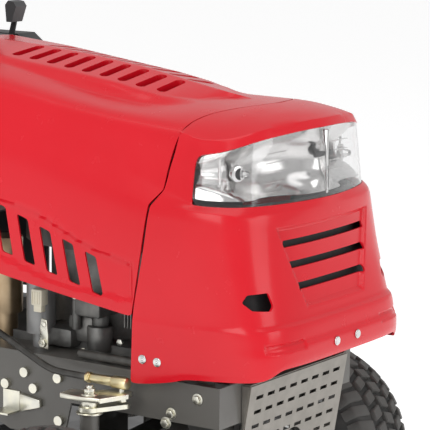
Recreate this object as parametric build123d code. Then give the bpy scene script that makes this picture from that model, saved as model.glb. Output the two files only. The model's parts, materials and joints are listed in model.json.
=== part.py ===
from build123d import *
import os
from math import cos, pi, radians, sin

os.makedirs("parts", exist_ok=True)

# Axes: X to the tractor's left, -Y forward, Z up. Origin on the ground, midway between the ends.
# All sizes are millimetres.

# ---- Overall sizes ----
half_length = 851            # origin to the front screws, and origin to the hitch plate's rear edge
front_axle_y = -550
rear_axle_y = 620
track_front = 742            # between the front tyres' mid-planes
track_rear = 670             # between the rear tyres' mid-planes

# ---- Clearances ----
part_gap = 0.5               # between neighbouring pieces that move apart
running_gap = 0.05           # radial, shaft in bore
seam_gap = 2.0               # hood panel to nose piece

# ---- Wheels ----
front_tyre = {"radius": 186, "width": 150, "rim": 76, "shoulder": 28}
rear_tyre = {"radius": 228, "width": 210, "rim": 102, "shoulder": 34}
tyre_wall = 16
rim_wall = 3
axle_radius = 9.5
rear_axle_radius = 12.5
hub_wall = 10
cap_length = 12

# ---- Frame ----
rail_outer_x = 195           # outer face of each side rail
rail_bottom_z = 362
rail_height = 65
rail_wall = 4
rail_flange = 30
rail_front_y = -735
rail_rear_y = 740
cross_wall = 5
plate_wall = 4
hitch_hole_radius = 9.5
hitch_z = 250
bolt_radius = 8              # flange bolt heads
bolt_height = 7
bolt_places = ((-324, 376), (-363, 400), (-382, 376), (-431, 400), (-433, 330), (-230, 376), (-60, 395),
               (60, 395), (380, 395), (620, 395))

# ---- Front axle ----
kingpin_x = 272
kingpin_radius = 9.5
kingpin_tube = 15            # outer radius of the axle beam's end tubes
kingpin_low_z = 250
kingpin_high_z = 378
beam_z = 305
beam_height = 36
beam_depth = 44
pivot_radius = 10
steer_arm_x = 46             # kingpin axis to ball joint, towards the middle
steer_arm_y = -30            # kingpin axis to ball joint, forward when negative
steer_arm_wall = 7
link_radius = 6
link_play = 5                # under each drag link's eye, for the axle to rock

# ---- Steering ----
wheel_centre_y = 60
wheel_centre_z = 985
column_tilt = 20             # degrees from vertical, leaning back
grip_ring_radius = 165
grip_tube = 13
shaft_radius = 9.5
shaft_length = 440
sector_radius = 126          # pitch radius of the sector gear
pinion_radius = 15.75
tooth_height = 4
sector_rise = 25             # rail top to the sector gear
sector_wall = 5
sector_ear = 60              # sector pivot to each drag link's stud

# ---- Hood and nose ----
hood_wall = 3
hood_rear_y = -100
screw_height = 3
nose_reach = half_length - screw_height
plateau_half = 92            # half width of the raised vent panel's flat top
plateau_foot = 118
top_slot = {"length": 76, "width": 17, "pitch": 35.9, "count": 9, "first_y": -250, "x": 46}
louvre = {"width": 21, "pitch": 44.5, "slant": 18, "height": 84, "count": 5, "first_y": -322, "top_z": 680}
grille_rows = ((647, 119), (614, 110), (580, 99))   # height above ground, half length
grille_height = 11
lens_wall = 3
hood_pivot_y = -700
hood_pivot_rise = 19         # rail top to the hinge pin
hood_pin = 6

# ---- Engine ----
crank_y = -400
crank_radius = 12.5
crank_pulley_radius = 55
engine_plate_wall = 6
belt_width = 13
drive_belt_z = 312
fan_radius = 118

# ---- Mower deck ----
deck_bottom_z = 45
deck_height = 105
deck_wall = 3.5
deck_left_x = 520
deck_right_x = -424
deck_front_y = -282
deck_rear_y = 272
deck_corner = 190
spindle_y = -5
spindle_spacing = 452
spindle_radius = 10
blade_length = 446
blade_width = 52
deck_pulley_radius = 70
chute_length = 113.2
chute_angle = 40             # degrees below level when lowered
gauge_radius = 52
gauge_width = 34
gauge_x = 170

# ---- Body and seat ----
console_rear_y = 100
console_top_z = 905
console_half = 205
console_wall = 4
fender_top_z = 560
fender_half = 452
fender_front_y = 334
fender_wall = 3
board_z = 335
board_outer_x = 440
lift_pivot_y = 232
lift_arm = 108               # lift shaft to the deck hangers
lever_x = -224               # middle of the deck lift lever
seat_front_y = 372
seat_rise = 50               # seat platform to the underside of the seat pan
seat_width = 440
seat_depth = 390
cushion_height = 68
back_height = 300

rail_top_z = rail_bottom_z + rail_height
rail_middle_z = rail_bottom_z + rail_height / 2
sector_z = rail_top_z + sector_rise
hood_pivot_z = rail_top_z + hood_pivot_rise
seat_z = fender_top_z + seat_rise
deck_top_z = deck_bottom_z + deck_height
engine_base_z = rail_top_z + engine_plate_wall


def block(x, y, z):
    """A box between low and high pairs on each axis."""
    centre = Pos((x[0] + x[1]) / 2, (y[0] + y[1]) / 2, (z[0] + z[1]) / 2)
    return centre * Box(x[1] - x[0], y[1] - y[0], z[1] - z[0])


def rod(start, end, radius):
    """A round bar between two points."""
    low = Vector(*start)
    line = Vector(*end) - low
    upright = Cylinder(radius, line.length, align=(Align.CENTER, Align.CENTER, Align.MIN))
    return Plane(origin=low, z_dir=line) * upright


def post(x, y, low_z, high_z, radius):
    return rod((x, y, low_z), (x, y, high_z), radius)


def prism_x(points, low, high):
    """A (y, z) outline drawn out along X."""
    return extrude(Plane.YZ.offset(low) * Polygon(*points, align=None), amount=high - low, dir=(1, 0, 0))


def prism_y(points, low, high):
    """An (x, z) outline drawn out along Y."""
    return extrude(Plane.XZ.offset(-low) * Polygon(*points, align=None), amount=high - low, dir=(0, 1, 0))


def prism_z(points, low, high):
    """An (x, y) outline drawn out along Z."""
    return extrude(Plane.XY.offset(low) * Polygon(*points, align=None), amount=high - low, dir=(0, 0, 1))


def flip(shape):
    return mirror(shape, about=Plane.YZ)


def pair(shape):
    """The shape and its mirror image on the other side of the tractor."""
    return shape + flip(shape)


def save(name, *shapes):
    solids = [solid for shape in shapes for solid in shape.solids()]
    export_step(solids[0] if len(solids) == 1 else Compound(children=solids), f"parts/{name}.step")


# ---- Frame ----

def frame_rail():
    """The left C-section rail, open towards the middle, with the bores for the lift shaft."""
    inner = rail_outer_x - rail_flange
    web = rail_outer_x - rail_wall
    rail = block((inner, rail_outer_x), (rail_front_y, rail_rear_y), (rail_bottom_z, rail_top_z))
    rail -= block((inner, web), (rail_front_y, rail_rear_y),
                  (rail_bottom_z + rail_wall, rail_top_z - rail_wall))
    return rail - rod((web - 1, lift_pivot_y, rail_middle_z), (rail_outer_x + 1, lift_pivot_y, rail_middle_z),
                      shaft_radius + running_gap)


def side_plate():
    """The plate under the left rail that stiffens the frame beside the engine."""
    low = rail_bottom_z - 62
    points = ((-455, rail_bottom_z), (-440, low), (-330, low), (-180, rail_bottom_z))
    return prism_x(points, rail_outer_x - plate_wall, rail_outer_x)


def axle_hanger():
    """The front cross member, with two plates that carry the axle beam's pivot pin."""
    half = rail_outer_x - rail_wall
    inner = rail_outer_x - rail_flange
    low_z, high_z = rail_bottom_z + rail_wall, rail_top_z - rail_wall
    front, back = front_axle_y - 58, front_axle_y + 58
    hanger = block((-inner, inner), (front, back), (high_z - cross_wall, high_z))
    for y in (front, back - cross_wall):
        hanger += block((-inner, inner), (y, y + cross_wall), (low_z, high_z - cross_wall))
        hanger += block((-48, 48), (y, y + cross_wall), (beam_z - 30, low_z))
    hanger -= rod((0, front - 1, beam_z), (0, back + 1, beam_z), pivot_radius)
    return hanger


def front_plate():
    """The plate across the rails' front ends, with a lug each side for the hood's hinge pin."""
    plate = block((-rail_outer_x, rail_outer_x), (rail_front_y - cross_wall, rail_front_y),
                  (rail_bottom_z, rail_top_z))
    lug = block((172, 172 + plate_wall), (hood_pivot_y - 16, hood_pivot_y + 16),
                (rail_top_z, hood_pivot_z + 14))
    lug -= rod((170, hood_pivot_y, hood_pivot_z), (180, hood_pivot_y, hood_pivot_z), hood_pin + running_gap)
    return plate, pair(lug)


def hitch_plate():
    """The rear plate that closes the frame, with a folded tongue and its drawbar hole."""
    back = rail_rear_y + cross_wall
    plate = block((-rail_outer_x, rail_outer_x), (rail_rear_y, back), (hitch_z, fender_top_z - 40))
    tongue = block((-55, 55), (back, half_length), (hitch_z, hitch_z + cross_wall))
    hole_y = half_length - 28
    return plate + tongue - post(0, hole_y, hitch_z - 1, hitch_z + cross_wall + 1, hitch_hole_radius)


def engine_plate():
    """The steel plate across the rails that the engine stands on."""
    plate = block((-rail_outer_x, rail_outer_x), (-640, -150), (rail_top_z, engine_base_z))
    return plate - post(0, crank_y, rail_top_z - 1, engine_base_z + 1, 40)


def frame_bolts():
    heads = [rod((rail_outer_x, y, z), (rail_outer_x + bolt_height, y, z), bolt_radius)
             for y, z in bolt_places]
    return pair(heads[0] + heads[1:])


def linkage_bracket():
    """The zinc angle that the shift rod's spring hooks into, on the right rail's lower edge."""
    side = -rail_outer_x
    foot = block((side - 3, side), (-352, -318), (rail_bottom_z - 30, rail_bottom_z + 4))
    shelf = block((side - 34, side - 3), (-352, -318), (rail_bottom_z - 30, rail_bottom_z - 27))
    return foot + shelf


# ---- Front axle and steering ----

def axle_beam():
    """The beam that rocks on the pivot pin, with an upright tube at each end for the kingpin."""
    half = beam_height / 2
    arm = prism_y(((0, beam_z - half), (kingpin_x, beam_z - half - 12), (kingpin_x, beam_z + half - 16),
                   (60, beam_z + half), (0, beam_z + half)),
                  front_axle_y - beam_depth / 2, front_axle_y + beam_depth / 2)
    beam = pair(arm) + pair(post(kingpin_x, front_axle_y, kingpin_low_z, kingpin_high_z, kingpin_tube))
    pin = rod((0, front_axle_y - 58, beam_z), (0, front_axle_y + 58, beam_z), pivot_radius - running_gap)
    bore = post(kingpin_x, front_axle_y, kingpin_low_z - 1, kingpin_high_z + 1, kingpin_radius + running_gap)
    return beam + pin - pair(bore)


def kingpin():
    """The left kingpin with its stub axle, which turns the wheel."""
    x, wheel_z = kingpin_x, front_tyre["radius"]
    outer_x = track_front / 2 + front_tyre["width"] / 2 - cap_length
    pin = post(x, front_axle_y, wheel_z, kingpin_high_z + 2 + steer_arm_wall, kingpin_radius)
    collar = post(x, front_axle_y, wheel_z - 14, kingpin_low_z - part_gap, 14)
    stub = rod((x, front_axle_y, wheel_z), (outer_x, front_axle_y, wheel_z), axle_radius)
    return pin + collar + stub


def steering_arm():
    """The zinc plate on top of the left kingpin that the drag link pushes."""
    low = kingpin_high_z + 2
    x, y = kingpin_x - steer_arm_x, front_axle_y + steer_arm_y
    web = prism_z(((kingpin_x + 12, front_axle_y - 12), (kingpin_x + 12, front_axle_y + 12),
                   (kingpin_x - 6, front_axle_y + 16), (x - 8, y + 8), (x + 4, y - 10)),
                  low, low + steer_arm_wall)
    arm = web + post(kingpin_x, front_axle_y, low, low + steer_arm_wall, 17)
    arm += post(x, y, low, low + steer_arm_wall, 11)
    return arm - post(kingpin_x, front_axle_y, low - 1, low + steer_arm_wall + 1, kingpin_radius)


def drag_link():
    """The left link rod, which rises over the rail from its ball joint to the sector gear."""
    arm_top = kingpin_high_z + 2 + steer_arm_wall
    x, y = kingpin_x - steer_arm_x, front_axle_y + steer_arm_y
    joint_z = arm_top + part_gap + 14
    rod_z = sector_z + sector_wall + part_gap + link_play + 4 + link_radius
    bend_low = (x, y + 96, joint_z)
    bend_high = (x - 10, y + 140, rod_z)
    stud = (sector_ear, sector_pivot_y(), rod_z)
    link = rod((x, y, joint_z), bend_low, link_radius) + rod(bend_low, bend_high, link_radius)
    link += rod(bend_high, stud, link_radius) + Pos(*bend_low) * Sphere(link_radius)
    link += Pos(*bend_high) * Sphere(link_radius)
    eye = post(stud[0], stud[1], rod_z - link_radius - 3, rod_z + link_radius + 2, 10)
    joint = post(x, y, arm_top + part_gap, joint_z + 9, 10.5)
    return link + eye + joint


def pinion_place():
    """Where the tilted shaft ends, as (y, z)."""
    tilt = radians(column_tilt)
    return wheel_centre_y - shaft_length * sin(tilt), wheel_centre_z - shaft_length * cos(tilt)


def sector_pivot_y():
    return pinion_place()[0] + sector_radius + pinion_radius + tooth_height + part_gap


def toothed_disc(radius, teeth, made, low_z, high_z, y):
    """A disc with square-topped teeth, of which the first ones made are centred on straight ahead."""
    width = pi * radius / teeth * 0.8
    tooth = block((radius - tooth_height - 1, radius), (-width / 2, width / 2), (low_z, high_z))
    first = -90 - 180 * (made - 1) / teeth
    ring = [Rot(0, 0, first + 360 * index / teeth) * tooth for index in range(made)]
    return Pos(0, y, 0) * (post(0, 0, low_z, high_z, radius - tooth_height) + ring)


def steering_pinion():
    y, top = pinion_place()
    gear = toothed_disc(pinion_radius, 9, 9, sector_z, sector_z + 22, y)
    return gear + post(0, y, sector_z + 22, top - 16, shaft_radius) + post(0, y, top - 36, top - 16, 14)


def sector_gear():
    """The toothed sector that the pinion swings, with an ear each side for a drag link."""
    y, high = sector_pivot_y(), sector_z + sector_wall
    disc = toothed_disc(sector_radius, 72, 15, sector_z, high, y)
    wedge = prism_z(((0, y + 30), (-100, y - 140), (100, y - 140)), sector_z, high)
    ears = block((-sector_ear - 9, sector_ear + 9), (y - 12, y + 12), (sector_z, high))
    hub = post(0, y, sector_z - 12, high + 8, 18)
    return (disc & wedge) + ears + hub - post(0, y, sector_z - 13, high + 9, shaft_radius + running_gap)


def sector_mount():
    """The cross strip and stud that the sector gear turns on."""
    y = sector_pivot_y()
    strip = block((-rail_outer_x, rail_outer_x), (y - 25, y + 25), (rail_top_z, rail_top_z + cross_wall))
    return [strip, post(0, y, rail_top_z + cross_wall, sector_z + sector_wall + 12, shaft_radius)]


def column_plane(along):
    """The plane square to the steering shaft, at a distance below the wheel's centre."""
    tilt = radians(column_tilt)
    origin = (0, wheel_centre_y - along * sin(tilt), wheel_centre_z - along * cos(tilt))
    return Plane(origin=origin, x_dir=(1, 0, 0), z_dir=(0, sin(tilt), cos(tilt)))


def steering_shaft():
    bottom = column_plane(shaft_length - 14)
    shaft = Cylinder(shaft_radius, shaft_length - 30, align=(Align.CENTER, Align.CENTER, Align.MIN))
    yoke = Cylinder(13, 24, align=(Align.CENTER, Align.CENTER, Align.MIN))
    return bottom * (shaft + yoke)


def column_bush():
    """The plastic bush in the console's top that the shaft turns in."""
    top_along = (wheel_centre_z - console_top_z) / cos(radians(column_tilt))
    ring = Cylinder(19, 26) - Cylinder(shaft_radius + running_gap, 30)
    return column_plane(top_along) * ring


def steering_wheel():
    """The grip ring, three spokes and a hub."""
    hub = Pos(0, 0, -24) * Cylinder(30, 44)
    body = hub + Torus(grip_ring_radius, grip_tube)
    for angle in (0, 180, 270):
        spoke = Pos(grip_ring_radius / 2 + 8, 0, -8) * Box(grip_ring_radius - 20, 34, 10)
        body += Rot(0, 0, angle) * spoke
    socket = Pos(0, 0, -32) * Cylinder(shaft_radius, 32)
    return column_plane(0) * (body - socket)


def steering_cap():
    return column_plane(0) * (Pos(0, 0, 1) * Cylinder(24, 6))


# ---- Wheels ----

def tyre(size, x, y):
    """A hollow tyre, with its beads on the rim and rounded shoulders."""
    radius, half, rim, shoulder = size["radius"], size["width"] / 2, size["rim"], size["shoulder"]
    outer = Cylinder(radius, 2 * half)
    outer = fillet(outer.edges().filter_by(GeomType.CIRCLE), shoulder)
    cavity = fillet(Cylinder(radius - tyre_wall, 2 * half - 2 * tyre_wall).edges(), shoulder - tyre_wall + 6)
    bead = Cylinder(rim, 2 * half + 2)
    lips = outer - cavity - bead
    return Pos(x, y, radius) * (Rot(0, 90, 0) * lips)


def rim(size, x, y, bore):
    """A drawn steel rim with a lip each side, a dished disc and a tube for its hub."""
    half = size["width"] / 2 - 16
    barrel = Cylinder(size["rim"], 2 * half) - Cylinder(size["rim"] - rim_wall, 2 * half + 2)
    disc = Pos(0, 0, 8) * Cylinder(size["rim"] - rim_wall, rim_wall)
    for angle in range(0, 360, 72):
        disc -= Rot(0, 0, angle + 36) * (Pos(size["rim"] * 0.62, 0, 8) * Cylinder(9, 10))
    hub = Cylinder(bore + hub_wall, size["width"] - 2 * cap_length - 8)
    wheel = barrel + disc + hub - Cylinder(bore, size["width"] + 10)
    return Pos(x, y, size["radius"]) * (Rot(0, 90, 0) * wheel)


def rear_axle():
    """The left rear axle shaft, from the transaxle to the hub cap."""
    outer_x = track_rear / 2 + rear_tyre["width"] / 2 - cap_length
    return rod((100, rear_axle_y, rear_tyre["radius"]), (outer_x, rear_axle_y, rear_tyre["radius"]),
               rear_axle_radius)


# ---- Hood and nose ----

# Half sections of the hood from front to rear: station y, crest height, plateau height, then
# (half width, height) of the top edge, shoulder, crease and belly.
hood_stations = (
    (-870, 812, 0, (165, 790), (198, 760), (210, 720), (222, 640)),
    (-800, 838, 0, (165, 808), (198, 775), (210, 725), (222, 640)),
    (-740, 853, 0, (165, 818), (198, 782), (210, 728), (222, 640)),
    (-610, 853, 0, (165, 828), (198, 790), (209, 738), (222, 640)),
    (-585, 850, 10, (165, 830), (198, 794), (210, 750), (223, 640)),
    (-374, 870, 26, (165, 847), (200, 815), (213, 782), (227, 640)),
    (-234, 880, 26, (165, 860), (203, 835), (217, 805), (229, 650)),
    (hood_rear_y, 890, 26, (165, 872), (206, 850), (220, 822), (231, 660)),
)


def hood_section(station, inset):
    y, crest, plateau, edge, shoulder, crease, belly = station
    bottom = 300
    half = [(0, crest + plateau - inset), (plateau_half - inset, crest + plateau - 3 - inset),
            (plateau_foot - inset, crest - 12 - inset), (edge[0] - inset, edge[1] - inset),
            (shoulder[0] - inset, shoulder[1] - inset / 2), (crease[0] - inset, crease[1]),
            (belly[0] - inset, belly[1]), (belly[0] - inset, bottom)]
    outline = half + [(-x, z) for x, z in reversed(half) if x > 0]
    return Plane.XZ.offset(-y) * Polygon(*outline, align=None)


def hood_solid(inset, rear):
    """The bonnet's form as one solid: the lofted sections cut to the nose's rounded plan outline."""
    sections = [hood_section(station, inset) for station in hood_stations]
    if rear > hood_rear_y:
        last = (rear,) + hood_stations[-1][1:]
        sections.append(hood_section(last, inset))
    lofted = loft(sections, ruled=True)
    plan = loft([nose_plan(z, front, inset) for z, front in nose_levels], ruled=True)
    return lofted & plan


# Height above ground and how far forward the nose's middle reaches there.
nose_levels = ((300, -838), (440, -840), (478, -nose_reach), (530, -832), (640, -813), (710, -811),
               (820, -800), (930, -740))


def nose_plan(z, front, inset):
    """The nose seen from above, with a lightly bowed face and tight corners."""
    half = [(0, 0), (70, 4), (125, 14), (165, 27), (190, 44), (206, 70), (216, 120), (225, 210), (240, 240)]
    points = [(x - (inset if x > 160 else 0), front + back + inset) for x, back in half]
    points.append((260, 200))
    outline = points + [(-x, y) for x, y in reversed(points) if x > 0]
    return Plane.XY.offset(z) * Polygon(*outline, align=None)


def bonnet_shell(inset, wall):
    return hood_solid(inset, hood_rear_y) - hood_solid(inset + wall, hood_rear_y + 20)


seam = ((-596, 300), (-599, 420), (-607, 568), (-621, 687), (-650, 745), (-656, 790), (-664, 826),
        (-700, 838), (-754, 852), (-800, 900))


def behind_seam():
    points = seam + ((-800, 1100), (0, 1100), (0, 300))
    return prism_x(points, -300, 300)


def ahead_of_seam():
    points = [(y - seam_gap, z) for y, z in seam] + [(-1000, 900), (-1000, 300)]
    return prism_x(points, -300, 300)


def side_louvres():
    """The slanted vents in the left side of the hood."""
    cutters = []
    for index in range(louvre["count"]):
        y = louvre["first_y"] - index * louvre["pitch"]
        top = louvre["top_z"] - index * 15
        low = top - louvre["height"] + index * 4
        width, slant = louvre["width"], louvre["slant"]
        points = ((y, top), (y - width, top - 5), (y - width - slant, low), (y - slant, low + 5))
        cutters.append(prism_x(points, 190, 260))
    return cutters


def top_slots():
    cutters = []
    for index in range(top_slot["count"]):
        y = top_slot["first_y"] - index * top_slot["pitch"]
        slot = Pos(top_slot["x"], y) * SlotOverall(top_slot["length"], top_slot["width"])
        outline = Plane.XY.offset(820) * slot
        cutters.append(extrude(outline, amount=200))
    return cutters


def hood_panel():
    skirt = prism_x(((-640, 300), (-640, 516), (-605, 523), (-476, 538), (-334, 569), (-80, 625), (-80, 300)),
                    -300, 300)
    cutters = side_louvres() + top_slots()
    return (bonnet_shell(0, hood_wall) & behind_seam()) - skirt - cutters - [flip(cut) for cut in cutters]


def lens_window(gap):
    """The band around the nose that the headlight lens fills, seen from the side."""
    points = ((-678 - gap, 716 + gap), (-700, 708 + gap), (-900, 706 + gap), (-900, 818 - gap),
              (-811, 815 - gap),
              (-749, 796 - gap), (-700, 788 - gap), (-678 - gap, 778 - gap))
    return prism_x(points, -300, 300)


def nose_piece():
    """The nose, with its lens window, three grille slots, a corner vent each side and two feet."""
    nose = (bonnet_shell(0, hood_wall) & ahead_of_seam()) - lens_window(0)
    nose -= prism_x(((-580, 300), (-580, 418), (-599, 420), (-717, 434), (-790, 445), (-870, 456),
                     (-870, 300)),
                    -300, 300)
    nose -= block((-142, 142), (-900, -780), (300, 466))
    for z, half in grille_rows:
        outline = Plane.XZ.offset(700) * (Pos(0, z) * SlotOverall(2 * half, grille_height))
        nose -= extrude(outline, amount=200)
    vent = prism_y(((163, 560), (168, 554), (196, 556), (204, 568), (200, 580), (167, 581)), -900, -700)
    return nose - pair(vent)


def headlight_lens():
    return bonnet_shell(0, lens_wall) & lens_window(part_gap)


def headlight_reflector():
    """The bright wall behind the lens, with a tab up to the nose at each end."""
    wall = bonnet_shell(40, lens_wall) & lens_window(4)
    wall -= block((-5, 5), (-900, -600), (600, 900))
    return wall


def headlight_bulbs():
    reach = -760
    bulb = rod((108, reach, 758), (108, reach + 26, 758), 9) + Pos(108, reach, 758) * Sphere(9)
    return pair(bulb)


def nose_screws():
    """The pan-head screws that hold the nose, two in front and two on each side."""
    front = rod((31, -nose_reach + 3, 488), (31, -half_length, 488), 6)
    side = rod((219.5, -616, 462), (225, -616, 462), 6) + rod((219.5, -644, 461), (225, -644, 461), 6)
    return pair(front + side)


def hood_hinge():
    """The hinge arm inside each side of the nose, with its pin."""
    low = 172 + plate_wall + part_gap
    arm = prism_x(((hood_pivot_y - 14, hood_pivot_z - 12), (hood_pivot_y + 14, hood_pivot_z - 12),
                   (-650, 500), (-650, 540), (-700, 540)), low, low + plate_wall)
    shelf = block((low + plate_wall, 216), (-690, -655), (520, 524))
    pin = rod((170, hood_pivot_y, hood_pivot_z), (low, hood_pivot_y, hood_pivot_z), hood_pin)
    return pair(arm + shelf + pin)


# ---- Engine ----

def crankcase():
    """The alloy sump, crankcase and forward cylinder of the upright-shaft engine."""
    base = engine_base_z
    case = block((-125, 125), (crank_y - 130, crank_y + 120), (base, base + 14))
    case += post(0, crank_y, base + 14, 600, 108)
    case += block((-62, 62), (crank_y - 190, crank_y - 80), (500, 590))
    case += [block((-76, 76), (y, y + 4), (488, 598)) for y in range(crank_y - 190, crank_y - 110, 12)]
    return case - post(0, crank_y, base - 1, 520, crank_radius + running_gap)


def blower_housing():
    """The steel shroud over the flywheel, open in the middle of its top."""
    outer = post(0, crank_y, 600, 722, 150) + block((-84, 84), (crank_y - 196, crank_y), (626, 690))
    inner = post(0, crank_y, 603, 719, 147) + block((-81, 81), (crank_y - 193, crank_y), (629, 687))
    return outer - inner - post(0, crank_y, 700, 730, fan_radius - 10)


def engine_fan():
    """The finned cooling screen on the flywheel, which turns with the crankshaft."""
    screen = post(0, crank_y, 640, 650, fan_radius)
    for index in range(12):
        vane = block((40, fan_radius - 4), (-2, 2), (650, 690))
        screen += Pos(0, crank_y, 0) * (Rot(0, 0, 30 * index) * vane)
    return screen + post(0, crank_y, 650, 700, 30)


def crank_pulley():
    """The crankshaft stub below the engine with its double pulley."""
    low = drive_belt_z - 10
    shaft = post(0, crank_y, low - 30, 519, crank_radius)
    pulley = post(0, crank_y, low, low + 26, crank_pulley_radius)
    groove = post(0, crank_y, drive_belt_z - 1, drive_belt_z + belt_width + 1, crank_pulley_radius + 1)
    groove -= post(0, crank_y, drive_belt_z - 1, drive_belt_z + belt_width + 1, crank_pulley_radius - 12)
    return shaft + (pulley - groove)


def starter_motor():
    x, y = -112, -255
    return post(x, y, engine_base_z + 40, 600, 28) + post(x, y, engine_base_z, engine_base_z + 40, 20)


def oil_filter():
    x, y = -146, -356
    return post(x, y, engine_base_z + 24, 545, 24) + post(x, y, engine_base_z, engine_base_z + 24, 14)


def carburettor():
    body = block((112, 150), (-440, -390), (540, 590)) + rod((131, -415, 540), (131, -415, 505), 18)
    throat = rod((108, -415, 565), (112, -415, 565), 15)
    return body + throat


def air_cleaner():
    cover = block((150, 205), (-490, -350), (520, 625))
    return fillet(cover.edges().filter_by(Axis.X), 18)


def spark_plug():
    y = crank_y - 190
    return rod((0, y, 555), (0, y - 34, 555), 9) + rod((0, y - 34, 555), (0, y - 52, 555), 12)


def muffler():
    """The drum silencer across the front of the frame, with its inlet pipe and outlet."""
    y, z, radius = -676, 352, 50
    drum = rod((-118, y, z), (118, y, z), radius)
    elbow_z = rail_top_z + 40
    inlet = post(88, y, z, elbow_z, 14) + Pos(88, y, elbow_z) * Sphere(14)
    inlet += rod((88, y, elbow_z), (88, crank_y - 194, 520), 14)
    outlet = rod((18, y - 30, z - 62), (18, -728, z - 62), 28)
    outlet -= rod((18, y - 40, z - 62), (18, -730, z - 62), 25)
    return drum + inlet + outlet


def muffler_guard():
    """The slotted heat guard in front of the silencer, folded back at both sides."""
    left, right = 158, -132
    front = prism_x(((-757, 420), (-755, 420), (-729, 262), (-731, 262)), right, left)
    slots = [block((x - 10, x + 10), (-770, -720), (z - 3, z + 3))
             for x in range(right + 30, left - 10, 33) for z in range(302, 400, 24)]
    front = front - slots - rod((18, -700, 286), (18, -780, 286), 36)
    outline = ((-755, 420), (-741, 420), (-741, 352), (-700, 300), (-700, 262), (-729, 262))
    sides = [prism_x(outline, x, x + 2) for x in (left, right - 2)]
    tab = block((right, left), (-755, rail_front_y - cross_wall), (420, 422))
    return front + sides + tab


def fuel_tank():
    tank = block((-165, 165), (-238, -122), (640, 800))
    tank = fillet(tank.edges().filter_by(Axis.Z), 22)
    return tank + post(90, -180, 800, 822, 26)


def fuel_cap():
    return post(90, -180, 822, 846, 36)


def tank_stand():
    """The bracket that carries the fuel tank on the frame."""
    leg = block((184, 190), (-210, -155), (engine_base_z, 636))
    return [pair(leg), block((-190, 190), (-210, -155), (636, 640))]


# ---- Transmission ----

def transaxle():
    """The gearcase between the rear wheels, with a tube each side around the axle shaft."""
    z = rear_tyre["radius"]
    case = block((-105, 105), (rear_axle_y - 85, rear_axle_y + 70), (z - 62, z + 66))
    case = fillet(case.edges().filter_by(Axis.X), 20)
    case += pair(rod((105, rear_axle_y, z), (222, rear_axle_y, z), 28))
    case += pair(block((158, 190), (rear_axle_y - 30, rear_axle_y + 30), (z + 20, rail_bottom_z)))
    bore = rod((-230, rear_axle_y, z), (230, rear_axle_y, z), rear_axle_radius + running_gap)
    return case - bore


def transaxle_pulley():
    y = rear_axle_y - 40
    low = rear_tyre["radius"] + 66 + part_gap
    wheel = post(0, y, drive_belt_z - 4, drive_belt_z + belt_width + 4, 72)
    groove = post(0, y, drive_belt_z - 1, drive_belt_z + belt_width + 1, 73)
    groove -= post(0, y, drive_belt_z - 1, drive_belt_z + belt_width + 1, 60)
    return wheel - groove + post(0, y, low, drive_belt_z + belt_width + 16, 16)


def belt_loop(first, second, low_z):
    """A V-belt round two pulleys, each given as (x, y, radius)."""
    def band(extra):
        circles = [Pos(x, y) * Circle(radius + extra) for x, y, radius in (first, second)]
        return make_hull((circles[0] + circles[1]).edges())
    ring = band(9) - band(part_gap)
    return extrude(Plane.XY.offset(low_z) * ring, amount=belt_width)


def drive_belt():
    return belt_loop((0, crank_y, crank_pulley_radius - 12), (0, rear_axle_y - 40, 60), drive_belt_z)


# ---- Mower deck ----

deck_centre_x = (deck_left_x + deck_right_x) / 2
spindle_xs = (deck_centre_x + spindle_spacing / 2, deck_centre_x - spindle_spacing / 2)


def deck_outline(inset):
    width = deck_left_x - deck_right_x - 2 * inset
    depth = deck_rear_y - deck_front_y - 2 * inset
    centre = Pos(deck_centre_x, (deck_front_y + deck_rear_y) / 2)
    return centre * RectangleRounded(width, depth, deck_corner - inset)


def deck_shell():
    """The pressed steel shell over the blades, with the discharge opening in its right side."""
    outer = extrude(Plane.XY.offset(deck_bottom_z) * deck_outline(0), amount=deck_height)
    outer = chamfer(outer.edges().group_by(Axis.Z)[-1], 14)
    inner = extrude(Plane.XY.offset(deck_bottom_z - 1) * deck_outline(deck_wall),
                    amount=deck_height - deck_wall + 1)
    inner = chamfer(inner.edges().group_by(Axis.Z)[-1], 12)
    shell = outer - inner
    shell -= block((deck_right_x - 10, deck_right_x + 40), (-95, 85), (deck_bottom_z - 1, deck_top_z - 22))
    for x in spindle_xs:
        shell -= post(x, spindle_y, deck_top_z - 20, deck_top_z + 1, 24)
    return shell


def spindle_housings():
    """The bearing housings that carry the blade shafts through the deck."""
    group = []
    for x in spindle_xs:
        body = post(x, spindle_y, deck_top_z, deck_top_z + 5, 52)
        body += post(x, spindle_y, deck_top_z - 30, deck_top_z + 30, 23.5)
        body -= post(x, spindle_y, deck_top_z - 31, deck_top_z + 31, spindle_radius + running_gap)
        group.append(body)
    return group


def blade_shaft(x):
    """A blade shaft with its pulley on top."""
    low = deck_bottom_z + 18
    shaft = post(x, spindle_y, low, deck_top_z + 62, spindle_radius)
    base = deck_top_z + 32
    pulley = post(x, spindle_y, base, base + belt_width + 8, deck_pulley_radius)
    groove = post(x, spindle_y, base + 4 - 1, base + belt_width + 5, deck_pulley_radius + 1)
    groove -= post(x, spindle_y, base + 4 - 1, base + belt_width + 5, deck_pulley_radius - 12)
    return shaft + (pulley - groove)


def blade(x):
    """A mower blade with lifted trailing edges at its ends."""
    low = deck_bottom_z + 22
    half, wide = blade_length / 2, blade_width / 2
    bar = block((-half, half), (-wide, wide), (low, low + 5))
    sail = block((half - 90, half), (wide - 12, wide), (low + 5, low + 20))
    bar = bar + sail + Rot(0, 0, 180) * sail
    corners = (Pos(0, 0, low + 10) * Cylinder(half, 40))
    bar = bar & corners
    return Pos(x, spindle_y, 0) * (bar - Pos(0, 0, low) * Cylinder(spindle_radius, 60))


def deck_belt():
    first = (spindle_xs[0], spindle_y, deck_pulley_radius - 12)
    second = (spindle_xs[1], spindle_y, deck_pulley_radius - 12)
    return belt_loop(first, second, deck_top_z + 36)


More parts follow.
